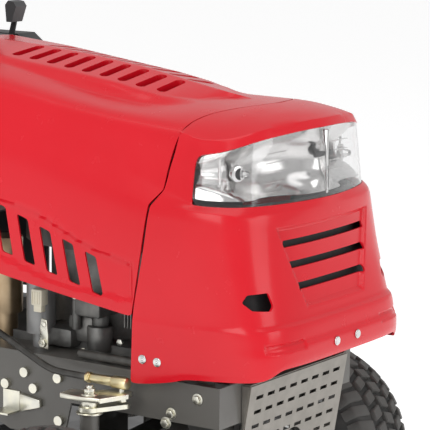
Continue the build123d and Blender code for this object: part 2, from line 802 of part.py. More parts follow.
def deck_hangers():
    """The straps that hang the deck from the lift arms, and the brackets they stand on."""
    y = lift_pivot_y - lift_arm
    strap = block((138, 143), (y - 10, y + 10), (deck_top_z, rail_middle_z + 12))
    return pair(strap)


def gauge_forks():
    """The brackets behind the deck that hold the gauge wheels' pins."""
    group = []
    for x in (gauge_x, -gauge_x):
        y, z = deck_rear_y + gauge_radius + 10, gauge_radius + 8
        half = gauge_width / 2 + 2
        for side in (-half - 4, half):
            group.append(prism_x(((deck_rear_y, 90), (deck_rear_y, 130), (y, z + 14), (y + 12, z),
                                  (y, z - 12)),
                                 x + side, x + side + 4))
        group.append(rod((x - half - 4, y, z), (x + half + 4, y, z), 6))
    return [group[0] + group[1:]]


def gauge_wheel(x):
    y, z = deck_rear_y + gauge_radius + 10, gauge_radius + 8
    wheel = rod((x - gauge_width / 2, y, z), (x + gauge_width / 2, y, z), gauge_radius)
    wheel = fillet(wheel.edges(), 8)
    return wheel - rod((x - gauge_width, y, z), (x + gauge_width, y, z), 6 + running_gap)


def chute():
    """The hinged deflector over the discharge opening, with a downturned side at each end."""
    hinge_x, hinge_z = deck_right_x - 8, deck_top_z - 10
    turn = Pos(hinge_x, 0, hinge_z) * Rot(0, -chute_angle, 0)
    panel = block((-chute_length, 0), (-100, 90), (-2, 2))
    ends = block((-chute_length, -14), (-100, -96), (-26, -2))
    ends += block((-chute_length, -14), (86, 90), (-26, -2))
    barrel = rod((0, -100, 0), (0, 90, 0), 5)
    return turn * (panel + ends + barrel)


def chute_hinge():
    """The lugs on the deck that hold the deflector's hinge barrel between them."""
    hinge_x, hinge_z = deck_right_x - 8, deck_top_z - 10
    return [block((hinge_x - 5, deck_right_x), (y, y + 5.5), (hinge_z - 6, hinge_z + 6))
            for y in (-106, 90 + part_gap)]


# ---- Body ----

def running_board():
    """The left footboard with a turned-down edge and a riser in front of the feet."""
    low, high = rail_outer_x, board_outer_x
    board = block((low, high), (-70, fender_front_y - 2), (board_z, board_z + 4))
    board += block((high - 4, high), (-70, fender_front_y - 2), (board_z - 26, board_z))
    return board + block((low, high), (-74, -70), (board_z - 10, board_z + 60))


def board_right():
    board = flip(running_board())
    x = -rail_outer_x - 17
    return board - block((x - 12, x + 12), (lift_pivot_y - 90, lift_pivot_y + 60), (board_z - 1, board_z + 5))


def fender_deck():
    """The rear bodywork: a seat platform with a flat arch over each rear wheel."""
    top, low = fender_top_z, fender_top_z - 62
    front, rear = fender_front_y, half_length - 8
    skin = block((-fender_half, fender_half), (front, rear), (low, top))
    skin = fillet(skin.edges().filter_by(Axis.Z), 50)
    inner = block((-fender_half + fender_wall, fender_half - fender_wall),
                  (front + fender_wall, rear - fender_wall), (low - 1, top - fender_wall))
    inner = fillet(inner.edges().filter_by(Axis.Z), 47)
    skin -= inner
    panel_x = rail_outer_x + 8
    wall = block((panel_x, panel_x + fender_wall), (front + 4, rail_rear_y - 2),
                 (rail_top_z + 4, top - fender_wall))
    riser = block((panel_x, fender_half - 60), (front, front + fender_wall), (board_z + 4, low))
    skin -= block((292, 308), (368, 440), (top - 10, top + 1))
    return skin + pair(wall) + pair(riser)


def console():
    """The dash tower over the steering shaft, open in front of its base."""
    top, rear = console_top_z, console_rear_y
    front = hood_rear_y + 2
    base = rail_top_z + cross_wall + 8
    outline = ((front, base), (front, top - 25), (front + 34, top), (rear - 50, top), (rear, top - 60),
               (rear, base))
    outer = prism_x(outline, -console_half, console_half)
    w = console_wall
    hollow = ((front + w, base - 1), (front + w, top - 28), (front + 36, top - w), (rear - 52, top - w),
              (rear - w, top - 62), (rear - w, base - 1))
    tower = outer - prism_x(hollow, -console_half + w, console_half - w)
    tower -= block((-console_half + w, console_half - w), (front - 1, front + w + 1), (base - 1, 600))
    bush_along = (wheel_centre_z - console_top_z) / cos(radians(column_tilt))
    tower -= column_plane(bush_along) * Cylinder(19, 60)
    tower -= block((144, 156), (-72, 0), (top - 60, top + 1))
    tower -= block((-156, -144), (-72, 0), (top - 60, top + 1))
    inner = console_half - w
    sides = tower & block((inner, console_half), (front, rear), (base, top))
    cover = tower & block((-inner, inner), (front, rear), (base, top))
    bend = top - 62
    return [pair(sides), cover & block((-inner, inner), (front, 0), (base, bend)),
            cover & block((-inner, inner), (0, rear), (base, bend)),
            cover & block((-inner, inner), (front, rear), (bend, top))]


def dash_lever(x):
    """A lever that stands through its slot in the dash, with a pivot boss."""
    pivot_y, pivot_z = -30, console_top_z - 95
    top_y, top_z = -62, console_top_z + 22
    stem = prism_x(((pivot_y - 7, pivot_z), (pivot_y + 7, pivot_z), (top_y + 5, top_z), (top_y - 5, top_z)),
                   x - 2, x + 2)
    return stem + rod((x - 8, pivot_y, pivot_z), (x + 8, pivot_y, pivot_z), 10)


def dash_knob(x, half_width):
    """The paddle grip on a dash lever."""
    outline = ((-68, console_top_z + 22), (-56, console_top_z + 22), (-53, console_top_z + 52),
               (-60, console_top_z + 60), (-72, console_top_z + 58), (-78, console_top_z + 50))
    return prism_x(outline, x - half_width, x + half_width)


def key_barrel():
    face_y, z = console_rear_y, console_top_z - 110
    return rod((-90, face_y, z), (-90, face_y + 8, z), 14)


def ignition_key():
    y, z = console_rear_y + 8 + part_gap, console_top_z - 110
    return rod((-90, y, z), (-90, y + 8, z), 6) + block((-92, -88), (y + 8, y + 34), (z - 14, z + 14))


def pedal():
    """The brake and clutch pedal on its pivot shaft, in front of the left footboard."""
    y, z = -100, 380
    shaft = rod((rail_outer_x + part_gap, y, z), (320, y, z), 8)
    arm = prism_x(((y - 8, z), (y + 8, z), (y - 4, z + 92), (y - 18, z + 92)), 296, 306)
    pad = prism_x(((y - 26, z + 84), (y + 2, z + 122), (y - 2, z + 126), (y - 30, z + 88)), 262, 340)
    return shaft + arm + pad


def lift_lever():
    """The deck lift lever at the right of the seat, fixed to the lift shaft."""
    x, y, z = lever_x, lift_pivot_y, rail_middle_z
    bar = prism_x(((y - 14, z - 12), (y + 14, z - 12), (y - 62, z + 240), (y - 78, z + 240)), x - 4, x + 4)
    return bar - rod((x - 5, y, z), (x + 5, y, z), shaft_radius)


def lift_grip():
    x, y, z = lever_x, lift_pivot_y, rail_middle_z
    return rod((x, y - 70, z + 240), (x, y - 90, z + 340), 15)


def lift_shaft():
    """The cross shaft with the two arms that raise the deck."""
    y, z = lift_pivot_y, rail_middle_z
    shaft = rod((lever_x - 4, y, z), (rail_outer_x + 10, y, z), shaft_radius)
    arm = prism_x(((y + 14, z - 13), (y + 14, z + 13), (y - lift_arm - 10, z + 9),
                   (y - lift_arm - 10, z - 9)),
                  144, 149)
    return shaft + pair(arm)


def shift_lever():
    x, y, low, high = 300, 404, fender_top_z - 60, fender_top_z + 80
    return rod((x, y, low), (x, y, high), 6) + rod((x - 12, y, low), (x + 12, y, low), 8)


def shift_knob():
    top = fender_top_z + 100
    return post(300, 404, top - 20, top - 12, 11) + Pos(300, 404, top) * Sphere(20)


def battery():
    top = fender_top_z - 21
    case = block((-98, 98), (430, 560), (rail_top_z + 6, top))
    return case + pair(post(70, 455, top, top + 12, 8))


def battery_tray():
    return block((-rail_outer_x, rail_outer_x), (410, 580), (rail_top_z, rail_top_z + 6))


# ---- Seat ----

def seat_slides():
    """The two fixed slide rails on the seat platform."""
    rail = block((110, 140), (seat_front_y + 10, seat_front_y + 300), (fender_top_z, fender_top_z + 12))
    return pair(rail)


def seat_carrier():
    """The bracket that slides along the rails and carries the seat's front hinge."""
    low = fender_top_z + 12 + part_gap
    plate = block((-150, 150), (seat_front_y + 30, seat_front_y + 250), (low, low + 5))
    y, z = seat_hinge_place()
    for x in (-132, 126):
        plate += prism_x(((y - 11, low), (y + 36, low), (y + 36, z + 12), (y - 2, z + 12),
                          (y - 11, z + 3)), x, x + 6)
    return plate - rod((-140, y, z), (140, y, z), 5 + running_gap)


def seat_hinge_place():
    return seat_front_y + 24, seat_z - 14


def seat_pan():
    """The seat's base plate with its hinge ears and rear rubber feet."""
    pan = block((-seat_width / 2 + 14, seat_width / 2 - 14), (seat_front_y, seat_front_y + seat_depth),
                (seat_z, seat_z + 8))
    y, z = seat_hinge_place()
    ear = block((133, 138), (y - 12, y + 12), (z - 10, seat_z))
    pin = rod((120, y, z), (133, y, z), 5)
    foot = post(120, seat_front_y + 230, fender_top_z + 18.5, seat_z, 14)
    return pan + pair(ear + pin + foot)


def seat_cushion():
    cushion = block((-seat_width / 2, seat_width / 2), (seat_front_y - 6, seat_front_y + seat_depth),
                    (seat_z + 8, seat_z + 8 + cushion_height))
    return fillet(cushion.edges().filter_by(Axis.Z), 60)


def seat_back():
    """The upright pad, leaning back a little from the cushion's rear."""
    low = seat_z + 8 + cushion_height
    front = seat_front_y + seat_depth - 90
    points = ((front, low), (front + 90, low), (front + 130, low + back_height),
              (front + 70, low + back_height))
    return prism_x(points, -seat_width / 2 + 10, seat_width / 2 - 10)


# ---- Output ----

plate, lugs = front_plate()
left_x, right_x = spindle_xs
front_x, rear_x = track_front / 2, track_rear / 2
knob_half = 15

save("frame_rails", pair(frame_rail()))
save("frame_brackets", pair(side_plate()), plate, lugs, hitch_plate(), engine_plate(), *sector_mount(),
     battery_tray(), *tank_stand(), seat_slides())
save("axle_hanger", axle_hanger())
save("frame_hardware", frame_bolts(), linkage_bracket())
save("battery", battery())

save("axle_beam", axle_beam())
for side, turn in (("left", lambda shape: shape), ("right", flip)):
    save(f"kingpin_{side}", turn(kingpin()), turn(steering_arm()))
    save(f"drag_link_{side}", turn(drag_link()))
    save(f"front_tyre_{side}", turn(tyre(front_tyre, front_x, front_axle_y)))
    save(f"front_rim_{side}", turn(rim(front_tyre, front_x, front_axle_y, axle_radius + running_gap)))
    save(f"rear_tyre_{side}", turn(tyre(rear_tyre, rear_x, rear_axle_y)))
    save(f"rear_rim_{side}", turn(rim(rear_tyre, rear_x, rear_axle_y, rear_axle_radius)), turn(rear_axle()))

save("sector_gear", sector_gear())
save("steering_pinion", steering_pinion())
save("steering_shaft", steering_shaft())
save("steering_wheel", steering_wheel(), steering_cap())

save("hood_panel", hood_panel())
nose = nose_piece()
save("nose_piece", nose)
save("headlight_lens", headlight_lens())
save("headlight_reflector", headlight_reflector(), headlight_bulbs())
save("hood_hardware", nose_screws() - nose, hood_hinge() - nose)

save("crankcase", crankcase(), spark_plug())
save("blower_housing", blower_housing())
save("crankshaft", crank_pulley(), engine_fan())
save("starter_motor", starter_motor())
save("oil_filter", oil_filter())
save("carburettor", carburettor(), air_cleaner())
save("muffler", muffler())
save("muffler_guard", muffler_guard())
save("fuel_tank", fuel_tank(), fuel_cap())

save("transaxle", transaxle())
save("transaxle_pulley", transaxle_pulley())
save("drive_belt", drive_belt())

save("deck_shell", deck_shell())
save("deck_fittings", *spindle_housings(), *gauge_forks(), *chute_hinge(), deck_hangers())
save("blade_left", blade_shaft(left_x), blade(left_x))
save("blade_right", blade_shaft(right_x), blade(right_x))
save("deck_belt", deck_belt())
save("gauge_wheel_left", gauge_wheel(gauge_x))
save("gauge_wheel_right", gauge_wheel(-gauge_x))
save("discharge_chute", chute())

save("running_boards", running_board(), board_right())
save("fender_deck", fender_deck())
save("console", *console(), column_bush(), key_barrel())
save("pto_lever", dash_lever(150), dash_knob(150, knob_half))
save("throttle_lever", dash_lever(-150), dash_knob(-150, knob_half))
save("ignition_key", ignition_key())
save("brake_pedal", pedal())
save("lift_lever", lift_lever(), lift_grip(), lift_shaft())
save("shift_lever", shift_lever(), shift_knob())

save("seat_carrier", seat_carrier())
save("seat_pan", seat_pan())
save("seat_cushion", seat_cushion())
save("seat_back", seat_back())
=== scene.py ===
import json
from math import cos, pi, radians, sin

import bpy
from mathutils import Matrix, Vector

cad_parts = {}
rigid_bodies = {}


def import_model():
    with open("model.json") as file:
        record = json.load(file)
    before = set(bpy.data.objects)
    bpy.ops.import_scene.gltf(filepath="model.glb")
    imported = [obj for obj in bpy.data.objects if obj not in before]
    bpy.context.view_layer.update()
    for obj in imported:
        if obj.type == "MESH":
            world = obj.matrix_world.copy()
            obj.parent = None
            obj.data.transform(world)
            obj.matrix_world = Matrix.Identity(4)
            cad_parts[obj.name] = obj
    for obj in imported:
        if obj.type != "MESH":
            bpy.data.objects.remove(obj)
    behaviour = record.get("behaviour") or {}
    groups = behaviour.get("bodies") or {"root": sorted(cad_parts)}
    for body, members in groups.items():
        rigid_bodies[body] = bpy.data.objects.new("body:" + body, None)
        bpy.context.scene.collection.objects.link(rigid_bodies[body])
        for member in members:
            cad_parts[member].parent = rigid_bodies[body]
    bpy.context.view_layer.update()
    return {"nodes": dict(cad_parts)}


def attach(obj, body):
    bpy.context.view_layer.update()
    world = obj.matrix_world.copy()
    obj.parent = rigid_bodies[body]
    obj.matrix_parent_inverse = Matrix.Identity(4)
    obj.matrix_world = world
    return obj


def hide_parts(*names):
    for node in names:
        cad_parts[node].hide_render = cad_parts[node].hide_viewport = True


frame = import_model()
print("frame loaded")

mm = 0.001


def selectOnly(*objects):
    for other in bpy.context.view_layer.objects:
        other.select_set(False)
    for obj in objects:
        obj.select_set(True)
    bpy.context.view_layer.objects.active = objects[0]


def atOrigin(obj):
    selectOnly(obj)
    bpy.ops.object.transform_apply(location=True, rotation=True, scale=True)
    return obj


def modified(obj, kind, **values):
    selectOnly(obj)
    modifier = obj.modifiers.new(kind.lower(), kind)
    for key, value in values.items():
        setattr(modifier, key, value)
    bpy.ops.object.modifier_apply(modifier=modifier.name)
    return obj


def cutWith(obj, cutter, operation="DIFFERENCE"):
    modified(obj, "BOOLEAN", object=cutter, operation=operation, solver="EXACT")
    bpy.data.objects.remove(cutter)
    return obj


def joined(pieces):
    selectOnly(*pieces)
    if len(pieces) > 1:
        bpy.ops.object.join()
    return bpy.context.view_layer.objects.active


def copied(obj, move=(0, 0, 0), turn=None):
    other = obj.copy()
    other.data = obj.data.copy()
    bpy.context.collection.objects.link(other)
    matrix = Matrix.Translation(Vector(move))
    if turn is not None:
        matrix = matrix @ turn
    other.data.transform(matrix)
    return other


def mirroredX(obj):
    other = copied(obj)
    other.data.transform(Matrix.Scale(-1, 4, (1, 0, 0)))
    other.data.flip_normals()
    return other


def outward(obj, mergeAt=0.00002):
    selectOnly(obj)
    bpy.ops.object.mode_set(mode="EDIT")
    bpy.ops.mesh.select_all(action="SELECT")
    bpy.ops.mesh.remove_doubles(threshold=mergeAt)
    bpy.ops.mesh.normals_make_consistent(inside=False)
    bpy.ops.object.mode_set(mode="OBJECT")
    return obj


def smooth(obj, angle=35):
    selectOnly(obj)
    bpy.ops.object.shade_smooth_by_angle(angle=radians(angle))
    return obj


def dressed(obj, name, body, material, replacing=(), angle=35):
    smooth(obj, angle)
    obj.name = obj.data.name = name
    obj.data.materials.clear()
    obj.data.materials.append(material)
    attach(obj, body)
    if replacing:
        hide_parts(*replacing)
    return obj


def block(x, y, z, bevel=0, segments=2):
    selectOnly(anyNode)
    bpy.ops.mesh.primitive_cube_add(size=1)
    obj = bpy.context.object
    obj.scale = ((x[1] - x[0]) * mm, (y[1] - y[0]) * mm, (z[1] - z[0]) * mm)
    obj.location = ((x[0] + x[1]) / 2 * mm, (y[0] + y[1]) / 2 * mm, (z[0] + z[1]) / 2 * mm)
    atOrigin(obj)
    if bevel:
        modified(obj, "BEVEL", width=bevel * mm, segments=segments)
    return obj


def rod(start, end, radius, sides=32, bevel=0, endRadius=None):
    a, b = Vector(start) * mm, Vector(end) * mm
    axis = b - a
    last = radius if endRadius is None else endRadius
    bpy.ops.mesh.primitive_cone_add(vertices=sides, radius1=radius * mm, radius2=last * mm, depth=axis.length)
    obj = bpy.context.object
    obj.rotation_mode = "QUATERNION"
    obj.rotation_quaternion = Vector((0, 0, 1)).rotation_difference(axis)
    obj.location = (a + b) / 2
    atOrigin(obj)
    if bevel:
        modified(obj, "BEVEL", width=bevel * mm, segments=2, limit_method="ANGLE", angle_limit=radians(50))
    return obj


def sheetOf(rows):
    high, wide = len(rows), len(rows[0])
    bpy.ops.mesh.primitive_grid_add(x_subdivisions=wide - 1, y_subdivisions=high - 1, size=1)
    obj = bpy.context.object
    for index, vertex in enumerate(obj.data.vertices):
        vertex.co = Vector(rows[index // wide][index % wide]) * mm
    return obj


def prism(points, axis, low, high, bevel=0, segments=2):
    bpy.ops.mesh.primitive_circle_add(vertices=len(points), radius=1, fill_type="NGON")
    obj = bpy.context.object
    order = {"x": lambda p: (low, p[0], p[1]), "y": lambda p: (p[0], low, p[1]), "z": lambda p: (p[0], p[1], low)}
    for vertex, point in zip(obj.data.vertices, points):
        vertex.co = Vector(order[axis](point)) * mm
    push = {"x": (high - low, 0, 0), "y": (0, high - low, 0), "z": (0, 0, high - low)}[axis]
    selectOnly(obj)
    bpy.ops.object.mode_set(mode="EDIT")
    bpy.ops.mesh.select_all(action="SELECT")
    bpy.ops.mesh.extrude_region_move(TRANSFORM_OT_translate={"value": [step * mm for step in push]})
    bpy.ops.mesh.select_all(action="SELECT")
    bpy.ops.mesh.normals_make_consistent(inside=False)
    bpy.ops.object.mode_set(mode="OBJECT")
    if bevel:
        modified(obj, "BEVEL", width=bevel * mm, segments=segments, limit_method="ANGLE", angle_limit=radians(40))
    return obj


def tubeAlong(points, radius, resolution=8, sides=3):
    data = bpy.data.curves.new("path", "CURVE")
    data.dimensions = "3D"
    data.bevel_depth = radius * mm
    data.bevel_resolution = sides
    data.resolution_u = resolution
    data.use_fill_caps = True
    spline = data.splines.new("NURBS")
    spline.points.add(len(points) - 1)
    for point, place in zip(spline.points, points):
        point.co = (*[value * mm for value in place], 1)
    spline.order_u = 3
    spline.use_endpoint_u = True
    obj = bpy.data.objects.new("path", data)
    bpy.context.collection.objects.link(obj)
    selectOnly(obj)
    bpy.ops.object.convert(target="MESH")
    return bpy.context.object


def between(table, value):
    if value <= table[0][0]:
        return table[0][1]
    for (a, first), (b, second) in zip(table, table[1:]):
        if value <= b:
            share = (value - a) / (b - a)
            return first + (second - first) * share
    return table[-1][1]


def easing(value, low, high):
    share = min(1.0, max(0.0, (value - low) / (high - low)))
    return share * share * (3 - 2 * share)


anyNode = frame["nodes"]["frame_rails"]

# Shared effects, each built once and placed in the materials with its own values.

def newGroup(name, inputs, outputs):
    tree = bpy.data.node_groups.new(name, "ShaderNodeTree")
    for label, kind, value in inputs:
        socket = tree.interface.new_socket(label, in_out="INPUT", socket_type=kind)
        if value is not None:
            socket.default_value = value
    for label, kind in outputs:
        tree.interface.new_socket(label, in_out="OUTPUT", socket_type=kind)
    return tree, tree.nodes.new("NodeGroupInput"), tree.nodes.new("NodeGroupOutput")


def noiseIn(tree, scaleFrom, detail=4.0, rough=0.55, vector=None):
    noise = tree.nodes.new("ShaderNodeTexNoise")
    noise.inputs["Detail"].default_value = detail
    noise.inputs["Roughness"].default_value = rough
    tree.links.new(scaleFrom, noise.inputs["Scale"])
    if vector is not None:
        tree.links.new(vector, noise.inputs["Vector"])
    return noise.outputs["Fac"]


def rangeIn(tree, value, low, high, toLow, toHigh):
    node = tree.nodes.new("ShaderNodeMapRange")
    tree.links.new(value, node.inputs["Value"])
    for key, amount in (("From Min", low), ("From Max", high), ("To Min", toLow), ("To Max", toHigh)):
        if isinstance(amount, bpy.types.NodeSocket):
            tree.links.new(amount, node.inputs[key])
        else:
            node.inputs[key].default_value = amount
    return node.outputs["Result"]


def mixIn(tree, factor, first, second):
    node = tree.nodes.new("ShaderNodeMix")
    node.data_type = "RGBA"
    tree.links.new(factor, node.inputs["Factor"])
    for socket, amount in ((node.inputs[6], first), (node.inputs[7], second)):
        if isinstance(amount, bpy.types.NodeSocket):
            tree.links.new(amount, socket)
        else:
            socket.default_value = (*amount, 1)
    return node.outputs[2]


def colourDriftGroup():
    tree, enter, leave = newGroup("colourDrift",
                                  [("Vector", "NodeSocketVector", None), ("First", "NodeSocketColor", None),
                                                  ("Second", "NodeSocketColor", None),
                                                  ("Scale", "NodeSocketFloat", 12.0)],
                                  [("Color", "NodeSocketColor"), ("Mask", "NodeSocketFloat")])
    noise = noiseIn(tree, enter.outputs["Scale"], vector=enter.outputs["Vector"])
    mask = rangeIn(tree, noise, 0.35, 0.68, 0.0, 1.0)
    tree.links.new(mixIn(tree, mask, enter.outputs["First"], enter.outputs["Second"]), leave.inputs["Color"])
    tree.links.new(mask, leave.inputs["Mask"])
    return tree


def roughDriftGroup():
    tree, enter, leave = newGroup("roughDrift",
                                  [("Vector", "NodeSocketVector", None), ("Low", "NodeSocketFloat", 0.3),
                                                 ("High", "NodeSocketFloat", 0.5), ("Scale", "NodeSocketFloat",
                                                                                    30.0)],
                                  [("Value", "NodeSocketFloat")])
    noise = noiseIn(tree, enter.outputs["Scale"], detail=6.0, vector=enter.outputs["Vector"])
    tree.links.new(rangeIn(tree, noise, 0.3, 0.7, enter.outputs["Low"], enter.outputs["High"]), leave.inputs["Value"])
    return tree


def grainGroup():
    tree, enter, leave = newGroup("surfaceGrain",
                                  [("Vector", "NodeSocketVector", None), ("Scale", "NodeSocketFloat", 400.0),
                                                   ("Cell", "NodeSocketFloat", 0.5)], [("Height", "NodeSocketFloat")])
    noise = noiseIn(tree, enter.outputs["Scale"], detail=3.0, vector=enter.outputs["Vector"])
    cells = tree.nodes.new("ShaderNodeTexVoronoi")
    tree.links.new(enter.outputs["Scale"], cells.inputs["Scale"])
    tree.links.new(enter.outputs["Vector"], cells.inputs["Vector"])
    mix = tree.nodes.new("ShaderNodeMix")
    tree.links.new(enter.outputs["Cell"], mix.inputs["Factor"])
    tree.links.new(noise, mix.inputs[2])
    tree.links.new(cells.outputs["Distance"], mix.inputs[3])
    tree.links.new(mix.outputs[0], leave.inputs["Height"])
    return tree


def edgeWearGroup():
    tree, enter, leave = newGroup("edgeWear",
                                  [("Vector", "NodeSocketVector", None), ("Base", "NodeSocketColor", None),
                                               ("Worn", "NodeSocketColor", None), ("Reach", "NodeSocketFloat", 0.54)],
                                  [("Color", "NodeSocketColor"), ("Mask", "NodeSocketFloat")])
    shape = tree.nodes.new("ShaderNodeNewGeometry")
    scale = tree.nodes.new("ShaderNodeValue")
    scale.outputs[0].default_value = 60.0
    noise = noiseIn(tree, scale.outputs[0], detail=5.0, vector=enter.outputs["Vector"])
    add = tree.nodes.new("ShaderNodeMath")
    add.operation = "MULTIPLY_ADD"
    add.inputs[1].default_value = 0.08
    tree.links.new(noise, add.inputs[0])
    tree.links.new(shape.outputs["Pointiness"], add.inputs[2])
    far = tree.nodes.new("ShaderNodeMath")
    far.operation = "ADD"
    far.inputs[1].default_value = 0.07
    tree.links.new(enter.outputs["Reach"], far.inputs[0])
    mask = rangeIn(tree, add.outputs[0], enter.outputs["Reach"], far.outputs[0], 0.0, 1.0)
    tree.links.new(mixIn(tree, mask, enter.outputs["Base"], enter.outputs["Worn"]), leave.inputs["Color"])
    tree.links.new(mask, leave.inputs["Mask"])
    return tree


drift, roughness, grain, wear = colourDriftGroup(), roughDriftGroup(), grainGroup(), edgeWearGroup()


def placed(tree, group, vector, **values):
    node = tree.nodes.new("ShaderNodeGroup")
    node.node_tree = group
    tree.links.new(vector, node.inputs["Vector"])
    for key, value in values.items():
        node.inputs[key].default_value = (*value, 1) if isinstance(value, tuple) else value
    return node


def finish(name, first, second, low, high, metallic=0.0, coat=0.0, scale=14.0, grainScale=400.0, grainDepth=0.0,
           cell=0.4, worn=None, reach=0.56, stretch=None, roughScale=30.0, coatRough=0.05, specular=0.5, sheen=0.0):
    material = bpy.data.materials.new(name)
    material.use_nodes = True
    tree = material.node_tree
    shader = tree.nodes["Principled BSDF"]
    place = tree.nodes.new("ShaderNodeTexCoord").outputs["Object"]
    if stretch is not None:
        mapping = tree.nodes.new("ShaderNodeMapping")
        mapping.inputs["Scale"].default_value = stretch
        tree.links.new(place, mapping.inputs["Vector"])
        place = mapping.outputs["Vector"]
    colour = placed(tree, drift, place, First=first, Second=second, Scale=scale).outputs["Color"]
    if worn is not None:
        edge = placed(tree, wear, place, Worn=worn, Reach=reach)
        tree.links.new(colour, edge.inputs["Base"])
        colour = edge.outputs["Color"]
    tree.links.new(colour, shader.inputs["Base Color"])
    tree.links.new(placed(tree, roughness, place, Low=low, High=high, Scale=roughScale).outputs["Value"],
                   shader.inputs["Roughness"])
    shader.inputs["Metallic"].default_value = metallic
    shader.inputs["Coat Weight"].default_value = coat
    shader.inputs["Coat Roughness"].default_value = coatRough
    shader.inputs["Specular IOR Level"].default_value = specular
    shader.inputs["Sheen Weight"].default_value = sheen
    if grainDepth:
        bump = tree.nodes.new("ShaderNodeBump")
        bump.inputs["Strength"].default_value = 1.0
        bump.inputs["Distance"].default_value = grainDepth * mm
        tree.links.new(placed(tree, grain, place, Scale=grainScale, Cell=cell).outputs["Height"],
                       bump.inputs["Height"])
        tree.links.new(bump.outputs["Normal"], shader.inputs["Normal"])
    return material


redPaint = finish("redPaint", (0.60, 0.005, 0.014), (0.65, 0.007, 0.018), 0.22, 0.28, coat=0.12, scale=3,
                  grainScale=700, grainDepth=0.003, cell=0.1, coatRough=0.04, specular=0.3)
deckPaint = finish("deckPaint", (0.026, 0.025, 0.024), (0.040, 0.038, 0.036), 0.34, 0.48, coat=0.3, scale=9,
                   grainScale=600, grainDepth=0.03, worn=(0.12, 0.115, 0.11), reach=0.60)
framePaint = finish("framePaint", (0.022, 0.021, 0.018), (0.034, 0.031, 0.026), 0.34, 0.5, coat=0.15, grainScale=700,
                    grainDepth=0.03, worn=(0.11, 0.105, 0.095), reach=0.57)
mouldedBlack = finish("mouldedBlack", (0.018, 0.018, 0.019), (0.026, 0.026, 0.027), 0.46, 0.6, grainScale=900,
                      grainDepth=0.06, cell=0.8, worn=(0.06, 0.06, 0.062), reach=0.60)
softGrip = finish("softGrip", (0.014, 0.014, 0.015), (0.021, 0.021, 0.022), 0.5, 0.68, grainScale=1400,
                  grainDepth=0.08, cell=0.9)
vinyl = finish("vinyl", (0.020, 0.020, 0.021), (0.030, 0.029, 0.030), 0.42, 0.55, grainScale=520, grainDepth=0.14,
               cell=0.9, sheen=0.08)
tyreRubber = finish("tyreRubber", (0.020, 0.020, 0.020), (0.040, 0.039, 0.037), 0.62, 0.82, scale=26, grainScale=700,
                    grainDepth=0.08, worn=(0.075, 0.072, 0.068), reach=0.55)
beltRubber = finish("beltRubber", (0.02, 0.02, 0.021), (0.05, 0.048, 0.045), 0.6, 0.85, grainScale=900,
                    grainDepth=0.1)
rimPaint = finish("rimPaint", (0.60, 0.60, 0.58), (0.70, 0.70, 0.68), 0.28, 0.42, coat=0.3, grainScale=600,
                  grainDepth=0.03, worn=(0.34, 0.33, 0.31), reach=0.60)
zincPlate = finish("zincPlate", (0.70, 0.69, 0.62), (0.83, 0.80, 0.66), 0.24, 0.42, metallic=1.0, scale=40,
                   grainScale=500, grainDepth=0.03)
goldZinc = finish("goldZinc", (0.72, 0.58, 0.30), (0.82, 0.74, 0.50), 0.24, 0.4, metallic=1.0, scale=50,
                  grainScale=500, grainDepth=0.03)
brightSteel = finish("brightSteel", (0.62, 0.62, 0.61), (0.74, 0.74, 0.73), 0.16, 0.32, metallic=1.0, scale=60,
                     grainScale=800, grainDepth=0.02)
guardSteel = finish("guardSteel", (0.24, 0.225, 0.20), (0.33, 0.31, 0.28), 0.34, 0.52, metallic=0.85, scale=30,
                    grainScale=700, grainDepth=0.05)
castAlloy = finish("castAlloy", (0.13, 0.13, 0.125), (0.21, 0.205, 0.195), 0.40, 0.58, metallic=0.8, scale=35,
                   grainScale=420, grainDepth=0.22, cell=0.6)
engineBlack = finish("engineBlack", (0.020, 0.020, 0.020), (0.034, 0.033, 0.032), 0.3, 0.46, coat=0.2, grainScale=600,
                     grainDepth=0.05, worn=(0.09, 0.088, 0.083), reach=0.585)
starterGold = finish("starterGold", (0.34, 0.24, 0.14), (0.44, 0.33, 0.21), 0.28, 0.42, metallic=0.9, scale=28,
                     grainScale=600, grainDepth=0.03)
filterGrey = finish("filterGrey", (0.20, 0.20, 0.20), (0.28, 0.28, 0.275), 0.34, 0.46, metallic=0.4, coat=0.2,
                    grainScale=600, grainDepth=0.03)
tankWhite = finish("tankWhite", (0.66, 0.66, 0.60), (0.74, 0.73, 0.68), 0.42, 0.55, grainScale=500, grainDepth=0.06)
creamPlastic = finish("creamPlastic", (0.62, 0.57, 0.44), (0.70, 0.66, 0.54), 0.38, 0.5, grainScale=500,
                      grainDepth=0.03)
reflectorChrome = finish("reflectorChrome", (0.60, 0.59, 0.585), (0.70, 0.69, 0.685), 0.16, 0.26, metallic=1.0,
                         scale=20, grainScale=160, grainDepth=0.02)
bladeSteel = finish("bladeSteel", (0.06, 0.06, 0.062), (0.12, 0.115, 0.11), 0.36, 0.55, metallic=0.6, scale=40,
                    grainScale=500, grainDepth=0.06, worn=(0.5, 0.5, 0.5), reach=0.58)
print("materials made")


def lensPlastic():
    material = bpy.data.materials.new("lensPlastic")
    material.use_nodes = True
    tree = material.node_tree
    shader = tree.nodes["Principled BSDF"]
    shader.inputs["Base Color"].default_value = (0.97, 0.97, 0.97, 1)
    shader.inputs["Transmission Weight"].default_value = 1.0
    shader.inputs["IOR"].default_value = 1.46
    place = tree.nodes.new("ShaderNodeTexCoord").outputs["Object"]
    tree.links.new(placed(tree, roughness, place, Low=0.015, High=0.05, Scale=25.0).outputs["Value"],
                   shader.inputs["Roughness"])
    bump = tree.nodes.new("ShaderNodeBump")
    bump.inputs["Distance"].default_value = 0.02 * mm
    tree.links.new(placed(tree, grain, place, Scale=120.0, Cell=0.2).outputs["Height"], bump.inputs["Height"])
    tree.links.new(bump.outputs["Normal"], shader.inputs["Normal"])
    return material


clearLens = lensPlastic()


# The hood and the nose. Each row runs from the rear to the seam; tables go by distance forward of the middle.

